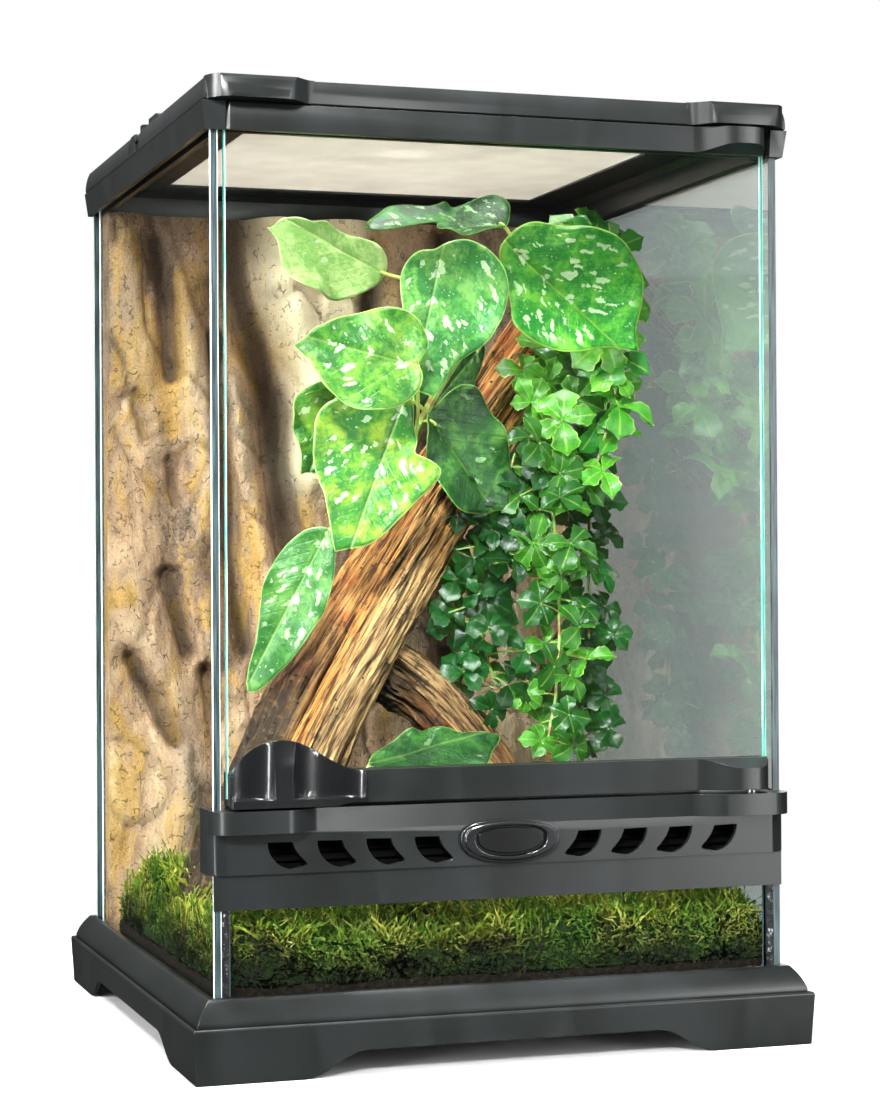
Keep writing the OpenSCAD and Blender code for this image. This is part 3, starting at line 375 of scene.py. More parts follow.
def waxy_leaf(name, light, mid, dark, margin, fleck=0.6, shade=0.0, silver="#c3dab0"):
    """Creeper's broad leaf: waxy skin mottled in greens, silver air pockets, a hair-thin pale margin, and
    dark patches of painted shadow.
    """
    material, add, where = new_finish(name)
    # the leaf's attribute: millimetres along it and to the side, and 0 to 1 from its middle to its edge
    spot = add("Attribute", out="Vector", attribute_name="leaf")
    along, across, rim = add("SeparateXYZ", [spot]).node.outputs
    side = add("Math", [across], operation="ABSOLUTE")
    # side veins leave the midrib at a slant, 7 mm apart
    slant = add("Math", [side, -0.9, along], operation="MULTIPLY_ADD")
    pleat = add("Math", [slant, 3.5], operation="PINGPONG")
    vein = add("MapRange", [pleat, 0.0, 0.8, 1, 0])
    rib = add("MapRange", [side, 0.2, 1.2, 1, 0])
    mottled = {"Detail": 4, "Roughness": 0.6, "Distortion": 0.6}
    tone = add("TexNoise", {"Vector": where, "Scale": 1000 / 15} | mottled)
    dappled = {"Detail": 3, "Roughness": 0.6, "Distortion": 0.8}
    fine = add("TexNoise", {"Vector": where, "Scale": 1000 / 3.6} | dappled)
    both = add("Math", [fine, 0.45, tone], operation="MULTIPLY_ADD")
    body = add("ValToRGB", [both], stops=[(0.6, light), (0.82, dark), (0.71, mid)])
    sunk = add("Math", [vein, 0.06], operation="MULTIPLY")
    spine = add("Math", [rib, 0.28], operation="MULTIPLY")
    # silver pockets: torn cells 7 by 4 mm, strung along the side veins, with a dust of dots
    lean = add("CombineXYZ", [slant, across])
    sway = add("TexNoise", {"Vector": where, "Scale": 1000 / 7, "Detail": 2}, out="Color")
    strayed = add("VectorMath", [sway, (9, 9, 0), lean], operation="MULTIPLY_ADD")
    slim = add("Mapping", {"Vector": strayed, "Scale": (0.2, 0.19, 1)})
    shape = add("TexVoronoi", {"Vector": slim, "Scale": 1.0})
    luck = add("SeparateColor", [shape.node.outputs["Color"]])
    tear = add("TexNoise", {"Vector": where, "Scale": 1000 / 2.0, "Detail": 4, "Roughness": 0.7})
    ragged = add("Math", [tear, 0.9, shape], operation="MULTIPLY_ADD")
    pocket = add("MapRange", [luck, 1 - fleck, 1.0, 0.45, 1.05])
    gap = add("Math", [pocket, ragged], operation="SUBTRACT")
    torn = add("MapRange", [gap, 0.0, 0.05, 0, 1])
    dots = add("TexVoronoi", {"Vector": where, "Scale": 1000 / 2.6})
    dot = add("MapRange", [dots, 0.12, 0.22, 1, 0])
    strewn = add("MapRange", [tone, 0.5, 0.6, 0, fleck])
    dusted = add("Math", [dot, strewn], operation="MULTIPLY")
    silvered = add("Math", [torn, dusted], operation="MAXIMUM")
    within = add("MapRange", [rim, 0.82, 0.93, 0.82, 0])
    spots = add("Math", [silvered, within], operation="MULTIPLY")
    # painted shadow: dark patches, as strong as shade asks
    shadow_noise = add("TexNoise", {"Vector": where, "Scale": 1000 / 22, "Detail": 3, "Distortion": 0.5})
    painted_shadow = add("MapRange", [shadow_noise, 0.46, 0.62, 0, shade])
    hem = add("MapRange", [rim, 0.978, 0.99, 0, 0.8])
    # the leaf's markings and its painted shadow, from its green up
    colour = body
    for share, mark in (
        (sunk, dark),
        (spine, margin),
        (spots, silver),
        (painted_shadow, "#123c14"),
        (hem, margin),
    ):
        colour = add("Mix", {0: share, 6: colour, 7: mark}, **COLOURS)
    sunken = add("Math", [rib, -0.8, fine], operation="MULTIPLY_ADD")
    quilted = add("Math", [vein, -0.2, sunken], operation="MULTIPLY_ADD")
    skin = add("Bump", {"Height": quilted, "Distance": 0.7 * MM, "Strength": 0.9})
    look = {"Base Color": colour, "Normal": skin, "Roughness": 0.32, "Specular IOR Level": 0.36}
    face = add("BsdfPrincipled", look)
    glow = add("Mix", {0: 0.5, 6: colour, 7: "#8fe02a"}, blend_type="MULTIPLY", **COLOURS)
    through = add("BsdfTranslucent", {"Color": glow})
    add("OutputMaterial", [add("MixShader", [0.18, face, through])])
    return material


def creeper_leaf(name, young, old, margin):
    """Small creeper leaflet: glossy, its ribs sunk, its toothed edge yellow where it is young."""
    material, add, where = new_finish(name)
    # the leaflet's attribute: from rib to edge, its own tone, and how near the rim a spot is
    spot = add("Attribute", out="Vector", attribute_name="leaf")
    rib, tone, rim = add("SeparateXYZ", [spot]).node.outputs
    body = add("Mix", {0: tone, 6: old, 7: young}, **COLOURS)
    mottle = add("TexNoise", {"Vector": where, "Scale": 1000 / 4, "Detail": 3})
    darker = add("MapRange", [mottle, 0.4, 0.65, 0, 0.6])
    mottled = add("Mix", {0: darker, 6: body, 7: old}, **COLOURS)
    line = add("MapRange", [rib, 0.0, 0.12, 0.4, 0])
    ribbed = add("Mix", {0: line, 6: mottled, 7: margin}, **COLOURS)
    hem = add("MapRange", [rim, 0.88, 1.0, 0, 1])
    share = add("Math", [hem, tone], operation="MULTIPLY")
    edged = add("Mix", {0: share, 6: ribbed, 7: margin}, **COLOURS)
    fine = add("TexNoise", {"Vector": where, "Scale": 1000 / 1.4, "Detail": 3})
    skin = add("Bump", {"Height": fine, "Distance": 0.4 * MM, "Strength": 0.6})
    look = {"Base Color": edged, "Normal": skin, "Roughness": 0.32, "Specular IOR Level": 0.5}
    face = add("BsdfPrincipled", look)
    glow = add("Mix", {0: 0.5, 6: edged, 7: "#9be03c"}, **COLOURS)
    through = add("BsdfTranslucent", {"Color": glow})
    add("OutputMaterial", [add("MixShader", [0.25, face, through])])
    return material


def plant_stem(name, green, brown):
    """Living stem: green, brown and corky at the knots."""
    material, add, where = new_finish(name)
    knots = add("TexNoise", {"Vector": where, "Scale": 1000 / 9, "Detail": 4, "Roughness": 0.6})
    share = add("MapRange", [knots, 0.48, 0.62, 0, 1])
    colour = add("Mix", {0: share, 6: green, 7: brown}, **COLOURS)
    skin = add("Bump", {"Height": knots, "Distance": 0.5 * MM, "Strength": 0.6})
    look = {"Base Color": colour, "Normal": skin, "Roughness": 0.5}
    add("OutputMaterial", [add("BsdfPrincipled", look)])
    return material


def moss_strands(name):
    """Sheet moss: hair-fine strands, lime at the tips and brown-green, with painted shade taking each to
    nearly black at its foot.
    """
    material, add, where = new_finish(name)
    # the strand's attribute: from foot to tip, and its own tone
    spot = add("Attribute", out="Vector", attribute_name="strand")
    height, tone, _ = add("SeparateXYZ", [spot]).node.outputs
    patch = add("TexNoise", {"Vector": where, "Scale": 1000 / 26, "Detail": 4, "Roughness": 0.65})
    greens = [(0.0, "#34500f"), (1.0, "#d3cc62"), (0.45, "#6f8a1e"), (0.8, "#a9ad36")]
    tips = add("ValToRGB", [tone], stops=greens)
    cool = add("MapRange", [patch, 0.42, 0.6, 0, 0.8])
    greener = add("Mix", {0: cool, 6: tips, 7: "#3f6f18"}, **COLOURS)
    dead = add("MapRange", [patch, 0.42, 0.34, 0, 0.55])
    browner = add("Mix", {0: dead, 6: greener, 7: "#6a5423"}, **COLOURS)
    # little light gets down behind the bar, so the strands darken from about 67 mm above the floor down to 45
    _, _, level = add("SeparateXYZ", [where]).node.outputs
    uneven = add("Math", [patch, 0.05, level], operation="MULTIPLY_ADD")
    daylit = add("MapRange", [uneven, 0.070, 0.092, 0.03, 1])
    # painted shade: each strand darkens to nearly black towards its foot
    lit_toward_tip = add("MapRange", [height, 0.05, 0.6, 0, daylit])
    colour = add("Mix", {0: lit_toward_tip, 6: "#0b1205", 7: browner}, **COLOURS)
    face = add("BsdfPrincipled", {"Base Color": colour, "Roughness": 0.55, "Specular IOR Level": 0.3})
    through = add("BsdfTranslucent", {"Color": colour})
    add("OutputMaterial", [add("MixShader", [0.3, face, through])])
    return material


def crumbly_soil(name, low, high, chip):
    """Coconut-fibre substrate: damp, dark crumbs with paler chips."""
    material, add, where = new_finish(name)
    crumbs = add("TexNoise", {"Vector": where, "Scale": 1000 / 2.6, "Detail": 6, "Roughness": 0.7})
    chips = add("TexVoronoi", {"Vector": where, "Scale": 1000 / 4.2})
    colour = add("ValToRGB", [crumbs], stops=[(0.35, low), (0.74, chip), (0.58, high)])
    height = add("Math", [chips, 0.8, crumbs], operation="MULTIPLY_ADD")
    skin = add("Bump", {"Height": height, "Distance": 2 * MM})
    look = {"Base Color": colour, "Normal": skin, "Roughness": 0.9, "Specular IOR Level": 0.2}
    add("OutputMaterial", [add("BsdfPrincipled", look)])
    return material


CHARCOAL = moulded_plastic("satin_charcoal_polystyrene", "#161918", "#1d2020", 0.3)
MATT_BLACK = moulded_plastic("matt_black_polystyrene", "#040404", "#070808", 0.75, shine=0.2)
PITCH_BLACK = moulded_plastic("pitch_black_louvre", "#010101", "#030303", 0.8, shine=0.08)
GLOSS_BLACK = moulded_plastic("polished_black_abs", "#0d0f10", "#121415", 0.22, 0.005, 0.5, 0.6)
SMOKE_PLATE = moulded_plastic("dark_grey_badge_plate", "#070808", "#0c0d0e", 0.28, 0.01, 0.2)
CLEAR = float_glass("clear_float_glass", "#fafdfb", mirror=0.5)
LEFT_GLASS = float_glass("bloomed_float_glass", "#f8fbf9", mirror=0.1)
# the right pane's grey veil is a painted reflection of the grey surroundings
SIDE_GLASS = float_glass("grey_veiled_float_glass", "#f2f6f5", 0.74, "#94999c", 2.3)
GROUND_EDGE = cut_edge("ground_glass_edge", "#10191a", "#40575a", 0.4, 0.0)
# painted light: these arrises and the door's edges glow, white arris highlights and a green door edge
ARRIS = cut_edge("glowing_ground_glass_arris", "#b9d0cb", "#ffffff", 0.3, 0.35)
DOOR_EDGE = cut_edge("glowing_polished_glass_edge", "#1d6a60", "#6fbcae", 0.2, 0.12)
DOOR_ARRIS = cut_edge("glowing_polished_glass_arris", "#5fa99e", "#c6ebe2", 0.2, 0.3)
SILICONE = silicone_bead("black_silicone")
STEEL = bright_steel("turned_steel")
WIRE = screen_wire("cream_lacquered_wire")
ROCK = cast_rock("painted_foam_rock")
LOG_WOOD = weathered_wood("weathered_driftwood", "#d89b55", "#b57838", "#523014", "#c6a06c", "#80603e")
BRANCH_WOOD = weathered_wood("dark_driftwood", "#936233", "#60391b", "#27160a", "#b99a6c", "#694a2d")
SOIL = crumbly_soil("fibre_substrate", "#080504", "#1f160e", "#4a3826")
MOSS_FLOOR = crumbly_soil("moss_mat", "#0b1204", "#20330c", "#3f5a16")
MOSS = moss_strands("sheet_moss")
STEM = plant_stem("climber_stem", "#86ad45", "#7c5a2d")
STALK = plant_stem("leaf_stalk", "#cfdc78", "#b9cf5c")
TWIG = plant_stem("creeper_stem", "#8fae5a", "#8a5a32")

# ---------- plastic mouldings ----------


def merged_copy(*names):
    """One mesh of the named nodes, joined where they touch, with its flat faces whole."""
    first = bpy.data.objects.new("first", CAD[names[0]].data.copy())
    bpy.context.scene.collection.objects.link(first)
    for name in names[1:]:
        join = first.modifiers.new(name, "BOOLEAN")
        join.operation = "UNION"
        join.solver = "EXACT"
        join.object = CAD[name]
    graph = bpy.context.evaluated_depsgraph_get()
    mesh = bpy.data.meshes.new_from_object(first.evaluated_get(graph))
    bpy.data.objects.remove(first)
    shape = bmesh.new()
    shape.from_mesh(mesh)
    bmesh.ops.remove_doubles(shape, verts=shape.verts, dist=0.004 * MM)
    bmesh.ops.dissolve_limit(shape, angle_limit=math.radians(0.6), verts=shape.verts, edges=shape.edges)
    return shape


def moulded(name, nodes, finish, body="tank", radius=0.6, angle=32):
    """A moulding with its arrises rounded, as a tool leaves them."""
    piece = show(name, merged_copy(*nodes), [finish], nodes, body, smooth=angle)
    soften = piece.modifiers.new("arris", "BEVEL")
    soften.width = radius * MM
    soften.segments = 2
    soften.limit_method = "ANGLE"
    soften.angle_limit = math.radians(angle)
    soften.harden_normals = True
    return piece


moulded("base_moulding", ["base_frame"], CHARCOAL, radius=0.8)
moulded("top_moulding", ["top_frame"], CHARCOAL, radius=0.7)
moulded("vent_bar_moulding", ["vent_bar"], CHARCOAL, radius=0.5)
moulded("vent_louvre", ["vent_insert"], PITCH_BLACK, radius=0.3)
moulded("door_foot_rail", ["door_bottom_rail"], CHARCOAL, "door", 0.6)
moulded("door_head_rail", ["door_top_rail"], CHARCOAL, "door", 0.6)
moulded("door_handle", ["door_grip"], GLOSS_BLACK, "door", 0.6)
moulded("cover_moulding", ["lid_frame", "lid_side_edges"], CHARCOAL, "screen_cover", 0.5)
for side in ("left", "right"):
    moulded(f"cover_lock_{side}", [f"lid_lock_{side}"], CHARCOAL, f"lock_{side}", 0.5)
    moulded(f"cable_gate_{side}", [f"inlet_gate_{side}"], MATT_BLACK, f"gate_{side}", 0.3)
moulded("badge_rim", ["badge_bezel"], GLOSS_BLACK, radius=0.9, angle=25)
moulded("badge_blank", ["badge_plate"], SMOKE_PLATE, radius=0.6)

for name, finish in (
    ("silicone_seams", SILICONE),
    ("door_catch", MATT_BLACK),
    ("hinge_pin_top", STEEL),
    ("hinge_pin_bottom", STEEL),
):
    for material_slot in CAD[name].material_slots:
        material_slot.material = finish

# ---------- glass ----------


def pane(part, glass, edge, rounding, body="tank"):
    """A sheet of glass in its node's place: faces, thin sides and arrisses have a finish each."""
    arris = 0.5 * MM
    low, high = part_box(part)
    size = high - low
    thin = min(range(3), key=lambda axis: size[axis])
    shape = bmesh.new()
    bmesh.ops.create_cube(shape, size=1)
    bmesh.ops.scale(shape, vec=size, verts=shape.verts)
    bmesh.ops.translate(shape, vec=(low + high) / 2, verts=shape.verts)
    rounded = {"offset": arris, "segments": 2, "profile": 0.5, "affect": "EDGES", "material": -1}
    bmesh.ops.bevel(shape, geom=shape.edges[:], **rounded)
    shape.normal_update()
    # a face lies square to an axis where that number of its normal is nearly 1
    nearly_one = 0.99
    for face in shape.faces:
        flat = abs(face.normal[thin]) > nearly_one
        square = max(abs(number) for number in face.normal) > nearly_one
        face.material_index = 0 if flat else 1 if square else 2
    return show(part + "_glass", shape, [glass, edge, rounding], [part], body, smooth=0)


for name in ("rear_pane", "front_lower_pane", "bottom_pane"):
    pane(name, CLEAR, GROUND_EDGE, GROUND_EDGE)
pane("left_pane", LEFT_GLASS, GROUND_EDGE, ARRIS)
pane("right_pane", SIDE_GLASS, GROUND_EDGE, GROUND_EDGE)
pane("door_glass", CLEAR, DOOR_EDGE, DOOR_ARRIS, "door")

# ---------- screen ----------


def wire_net(part="lid_mesh", pitch=2.0, width=1.2, thick=0.35):
    """Square woven net: one set of flat wires over the other; sizes in mm."""
    low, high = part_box(part)
    middle = (low.z + high.z) / 2
    # the two sets touch, sunk a hair into each other
    lift = 0.17 * MM
    span = high.x - low.x
    count = int(span / (pitch * MM))
    shape = bmesh.new()
    for axis in (0, 1):
        for i in range(1, count):
            at = -span / 2 + span * i / count
            bar = bmesh.ops.create_cube(shape, size=1)["verts"]
            size = (span, width * MM, thick * MM) if axis else (width * MM, span, thick * MM)
            spot = (0, at, middle - lift) if axis else (at, 0, middle + lift)
            bmesh.ops.scale(shape, vec=Vector(size), verts=bar)
            bmesh.ops.translate(shape, vec=Vector(spot), verts=bar)
    return show("screen_net", shape, [WIRE], [part], "screen_cover", smooth=0)


wire_net()

# ---------- rock background ----------

# Ridges and furrows of the rock: a path of (x, z) in mm, its height or depth and its half width
RIDGES = (
    (((-42, 438), (-38, 412), (-30, 388), (-20, 362), (-18, 330), (-24, 298)), 16, 14),
    (((0, 440), (2, 400), (0, 350), (-8, 300)), 11, 17),
    (((-134, 430), (-124, 360), (-116, 300), (-122, 250)), 8, 16),
    (((-96, 400), (-90, 330), (-84, 290), (-90, 240), (-84, 190)), 10, 11),
    (((-70, 345), (-62, 290), (-48, 235), (-44, 190)), 9, 9),
    (((-124, 200), (-104, 170), (-98, 120), (-104, 60)), 10, 14),
    (((36, 420), (38, 340), (32, 260), (42, 170)), 9, 16),
    (((96, 430), (100, 330), (92, 240), (98, 120)), 12, 22),
)
FURROWS = (
    (((-67, 440), (-64, 405), (-55, 372), (-45, 338), (-40, 290), (-30, 240)), 15, 10),
    (((-112, 425), (-106, 392), (-104, 350)), 6, 8),
    (((-126, 336), (-119, 312)), 4, 6),
    (((-106, 300), (-101, 276)), 4, 5),
    (((-78, 372), (-74, 310), (-70, 240), (-60, 190)), 8, 7),
    (((-106, 236), (-98, 208), (-95, 190)), 7, 7),
    (((-128, 186), (-112, 158), (-104, 140)), 6, 7),
    (((-84, 178), (-76, 152)), 5, 7),
    (((16, 420), (16, 360), (10, 300), (12, 200)), 9, 9),
    (((64, 430), (66, 330), (62, 230), (68, 120)), 9, 11),
)
# Furrows whose middle lies left of this x, in mm, are cut this many times as wide and as deep
SHARP_SIDE, SHARP_WIDTH, SHARP_DEPTH = -60, 0.8, 1.5
# Where leaves and wood keep the light off the rock: a path and its half width
HOLLOW = ((70, 330), (48, 260), (40, 180), (66, 100)), 44
# The two ridges given a pale painted highlight, the half width of that and how far down it reaches, in mm
HIGHLIT_RIDGES = ((RIDGES[0][0], 15, 0), (RIDGES[1][0], 18, 330))


def near_path(x, z, path, width):
    """Bell-shaped closeness, 0 to 1, of points to a path."""
    best = np.full(x.shape, 1e9)
    for (x0, z0), (x1, z1) in zip(path, path[1:]):
        dx, dz = x1 - x0, z1 - z0
        t = np.clip(((x - x0) * dx + (z - z0) * dz) / (dx * dx + dz * dz), 0, 1)
        best = np.minimum(best, np.hypot(x - x0 - t * dx, z - z0 - t * dz))
    return np.exp(-((best / width) ** 2))


def rock_wall(part="rock_background", columns=190, rows=280):
    """Cast rock panel: a fine grid pushed out by its ridges, folds and grit, closed by a flat back."""
    low, high = (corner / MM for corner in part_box(part))
    # the foam's top edge reaches up to the frame
    top = high.z + 3
    shape = bmesh.new()
    bmesh.ops.create_grid(shape, x_segments=columns, y_segments=rows, size=0.5)
    flat = np.array([vert.co[:2] for vert in shape.verts])
    x = low.x + (flat[:, 0] + 0.5) * (high.x - low.x)
    z = low.z + (flat[:, 1] + 0.5) * (top - low.z)
    spots = list(zip(x, z))
    rough = np.array([noise.fractal(Vector((a / 34, 3.1, b / 60)), 0.9, 2.1, 5) for a, b in spots])
    folds = np.array([noise.noise(Vector(((a + 0.3 * b) / 30, 5.7, b / 64))) for a, b in spots])
    crisp = np.array([noise.fractal(Vector((a / 8, 9.4, b / 9)), 0.8, 2.2, 4) for a, b in spots])
    crease = np.clip(1 - np.abs(folds) / 0.13, 0, 1) ** 1.5
    depth = 13 + 2.5 * np.sin(np.radians(1.7 * z + 1.3 * x)) + 3.4 * rough + 0.9 * crisp - 2.6 * crease
    for path, height, width in RIDGES:
        depth = depth + height * near_path(x + 2 * rough, z, path, width)
    shade = 0.4 * crease
    for path, height, width in FURROWS:
        sharp = sum(point[0] for point in path) / len(path) < SHARP_SIDE
        width = width * (SHARP_WIDTH if sharp else 1)
        close = swell(near_path(x + 2 * rough, z + 3 * crisp, path, width))
        depth = depth - (SHARP_DEPTH if sharp else 1) * height * close
        shade = np.maximum(shade, close * min(1, height / 8))
    shade = np.maximum(shade, 0.85 * near_path(x, z, *HOLLOW))
    # painted highlight along the two pale ridges
    pale = sum(near_path(x, z, path, width) * (z > lowest) for path, width, lowest in HIGHLIT_RIDGES)
    depth = np.clip(depth, 5.5, high.y - low.y - 0.5)
    # as deep as 12 mm counts as 0 and 26 mm as 1 in how far a spot swells forward
    forward = (depth - 12) / 14
    # the layer holds painted shade, the ridges' painted highlight and how far a spot swells forward
    shade_highlight_relief = shape.verts.layers.float_vector.new("shade_highlight_relief")
    for i, vert in enumerate(shape.verts):
        vert[shade_highlight_relief] = Vector((float(shade[i]) ** 1.2, float(min(1, pale[i])), float(forward[i])))
        vert.co = Vector((x[i], high.y - depth[i], z[i])) * MM
    skirt(shape, 1, high.y * MM)
    return show("rock_wall", shape, [ROCK], [part], smooth=60)


rock_wall()

# ---------- driftwood ----------

LOG_LINE = [Vector(p) for p in ((-108, -24, 58), (-48, -9, 194), (11, 30, 258), (121, 66, 398))]
BRANCH_LINE = [Vector(p) for p in ((-20, 14, 190), (14, 12, 172), (46, 0, 140), (92, -10, 40))]


def driftwood(name, part, line, thick, finish, around=150, rings=260, flats=(), seed=0.0, bare_side=1.0):
    """A length of driftwood: a grid rolled round its line, split along the grain, its ends broken off.

    thick is its radius at the two ends, in mm, and flats are the sides it is worn flat on: the angle round it
    and how much of the radius is left there.
    """
    shape = bmesh.new()
    bmesh.ops.create_grid(shape, x_segments=around, y_segments=rings, size=0.5)
    grain_at = shape.verts.layers.float_vector.new("grain")
    worn = shape.verts.layers.float_vector.new("worn")
    length = sum((bezier(*line, (i + 1) / 20) - bezier(*line, i / 20)).length for i in range(20))
    foot, head = thick
    spine = [frame_along(line, i / rings) for i in range(rings + 1)]
    for vert in shape.verts:
        turn = (vert.co.x + 0.5) * 2 * math.pi
        t = vert.co.y + 0.5
        here, ahead, side, over = spine[round(t * rings)]
        base = foot + (head - foot) * t
        round_x, round_y = math.cos(turn), math.sin(turn)
        # long fibres: noise that hardly changes along the length
        fibre = noise.fractal(Vector((round_x * 4.6, round_y * 4.6, t * 2.0 + seed)), 0.65, 2.3, 6)
        split = noise.noise(Vector((round_x * 5.5, round_y * 5.5, t * 1.5 + seed + 7)))
        knob = noise.noise(Vector((round_x * 1.1, round_y * 1.1, t * 5 + seed)))
        opening = max(0.0, noise.noise(Vector((round_x, round_y, t * 4 + 3 + seed))) + 0.35)
        check = max(0.0, 1 - abs(split) / 0.075) * min(1, 1.6 * opening)
        radius = base * (0.97 + 0.1 * knob) + 2.6 * fibre - 4.6 * min(1, check)
        for angle, cut in flats:
            away = math.cos(turn - math.radians(angle))
            if away > 0:
                limit = base * cut / away
                if limit < radius:
                    radius = limit + 1.5 * fibre - 4.0 * min(1, check) + (radius - limit) * 0.08
        # seen from the door: bare splits on the right, bark left on the lower left
        way = side * round_x + over * round_y
        facing_right = way.dot(Vector((0.8, -0.45, -0.4)))
        bare = float(swell((facing_right + 0.1 + 0.5 * split) / 0.5))
        bare *= float(swell((0.78 - t + 0.2 * knob) / 0.3))
        bark = float(swell((0.52 - t) / 0.3) * swell((-facing_right + 0.3 + 0.6 * knob) / 0.4))
        ragged = 9 * noise.fractal(Vector((round_x * 3, round_y * 3, seed + 2)), 0.8, 2, 3)
        slip = ragged * float(swell((t - 0.95) / 0.05))
        vert.co = (here + way * radius + ahead * slip * 0.6) * MM
        # loose bark stands a little proud and rough
        flake = noise.fractal(Vector((round_x * 9, round_y * 9, t * 22 + seed)), 0.7, 2.2, 4)
        vert.co += way * bark * 1.6 * (1 + flake) * MM
        vert[grain_at] = Vector((turn * base, t * length, radius * 0.3))
        vert[worn] = Vector((min(1, check * 1.3), bare * bare_side, bark * 0.95))
    bmesh.ops.remove_doubles(shape, verts=shape.verts, dist=0.02 * MM)
    ends = [edge for edge in shape.edges if edge.is_boundary]
    bmesh.ops.holes_fill(shape, edges=ends, sides=0)
    bmesh.ops.recalc_face_normals(shape, faces=shape.faces)
    return show(name, shape, [finish], [part], smooth=70)


LOG_RADII, LOG_FLATS = (31, 18.5), ((-60, 0.9), (-118, 0.93))
BRANCH_RADII, BRANCH_FLATS = (16.5, 12.5), ((-90, 0.9),)
driftwood("log", "driftwood_log", LOG_LINE, LOG_RADII, LOG_WOOD, flats=LOG_FLATS)
fork = {"around": 90, "rings": 120, "flats": BRANCH_FLATS, "seed": 5.0, "bare_side": 0.6}
driftwood("branch", "driftwood_branch", BRANCH_LINE, BRANCH_RADII, BRANCH_WOOD, **fork)

# ---------- stems and broad leaves ----------


def stem_piece(name, stems, finish, stands_for, sides=8, steps=24):
    """Stems of one plant as one piece: grids rolled round four control points each, with a radius, in mm."""
    shape = bmesh.new()
    for points, radius in stems:
        line = [Vector(point) for point in points]
        for vert in bmesh.ops.create_grid(shape, x_segments=sides, y_segments=steps, size=0.5)["verts"]:
            turn = (vert.co.x + 0.5) * 2 * math.pi
            here, _, side, over = frame_along(line, vert.co.y + 0.5, Vector((0.3, 1, 0.2)))
            vert.co = (here + (side * math.cos(turn) + over * math.sin(turn)) * radius) * MM
    bmesh.ops.remove_doubles(shape, verts=shape.verts, dist=0.001 * MM)
    bmesh.ops.holes_fill(shape, edges=[edge for edge in shape.edges if edge.is_boundary], sides=0)
    bmesh.ops.recalc_face_normals(shape, faces=shape.faces)
    return show(name, shape, [finish], stands_for)


STEM_LINE = ((1, 16, 274), (-15, -22, 310), (32, -4, 366), (101, 44, 423))
# The stem has this many knots, counted from its foot, that leaves can spring from
KNOTS = 14
stem_piece("climber_stem", [(STEM_LINE, 2.4)], STEM, ["climbing_stem"])


def outline(reach, spokes):
    """Smooth closed outline through the given distances, as one distance for each spoke."""
    count = len(reach)
    made = []
    for k in range(spokes):
        at = k * count / spokes
        i = int(at)
        t = at - i
        a, b, c, d = (reach[(i + j) % count] for j in (-1, 0, 1, 2))
        curve = 2 * b + (c - a) * t + (2 * a - 5 * b + 4 * c - d) * t * t + (3 * b - 3 * c + d - a) * t**3
        made.append(curve / 2)
    return made


def broad_leaf(part, finish, middle, base, tip, face, cup, knot, reach, wave=2.2):
    """A broad leaf on its stalk: spokes out to its edge, cupped, waved at the rim, quilted by its veins."""
    spokes, rings = 96, 14
    middle, base, tip = Vector(middle), Vector(base), Vector(tip)
    size = (tip - base).length
    along = (tip - base).normalized()
    across = Vector(face).cross(along).normalized()
    up = along.cross(across)
    foot_u, foot_v = (base - middle).dot(along), (base - middle).dot(across)
    edge = outline(reach, spokes)
    # a drawn-out point, longer where the outline itself hardly has one
    beak = 6.5 if reach[0] < (reach[1] + reach[-1]) / 2 + 6 else 2.5
    for k in range(-3, 4):
        edge[k] += beak * (1 - abs(k) / 4) ** 2

    def skin(u, v, lift=0.0):
        return middle + along * u + across * v + up * (cup * (v * v - 0.35 * u * abs(u)) / size + lift)

    shape = bmesh.new()
    bmesh.ops.create_grid(shape, x_segments=spokes, y_segments=rings, size=0.5)
    layer = shape.verts.layers.float_vector.new("leaf")
    for vert in shape.verts:
        k = round((vert.co.x + 0.5) * spokes) % spokes
        # a is the angle round from the tip, s the share of the way out to the rim
        a = 2 * math.pi * k / spokes
        s = vert.co.y + 0.5
        u = s * edge[k] * math.cos(a)
        v = s * edge[k] * math.sin(a)
        side = v - foot_v
        ripple = wave * s**4 * math.sin(5 * a + 1.3 * size) * (0.5 + 0.5 * abs(math.sin(a)))
        furrow = -1.1 * math.exp(-((side / 2.2) ** 2)) * (1 - s**6)
        quilt = 0.12 * math.sin((u - 0.9 * abs(side)) * 2 * math.pi / 8) * min(1, abs(side) / 6) * (1 - s**4)
        sway = 2.4 * s * noise.noise(Vector((u / 17, v / 17, size)))
        vert[layer] = Vector((u - foot_u, side, s))
        vert.co = skin(u, v, ripple + furrow + quilt + sway) * MM
    bmesh.ops.remove_doubles(shape, verts=shape.verts, dist=0.01 * MM)
    bmesh.ops.recalc_face_normals(shape, faces=shape.faces)
    if sum(face.normal.dot(up) for face in shape.faces) < 0:
        bmesh.ops.reverse_faces(shape, faces=shape.faces)
    piece = show(part + "_blade", shape, [finish], [part], smooth=75)
    thick = piece.modifiers.new("thick", "SOLIDIFY")
    thick.thickness = 0.5 * MM
    thick.offset = -1
    root = skin(foot_u + 5, foot_v, -0.4)
    end = bezier(*(Vector(p) for p in STEM_LINE), knot / KNOTS) if isinstance(knot, int) else Vector(knot)
    stalk = (root, root - along * 8, end - along * 4, end)
    stem_piece(part + "_stalk", [(stalk, 1.0)], STALK, ())


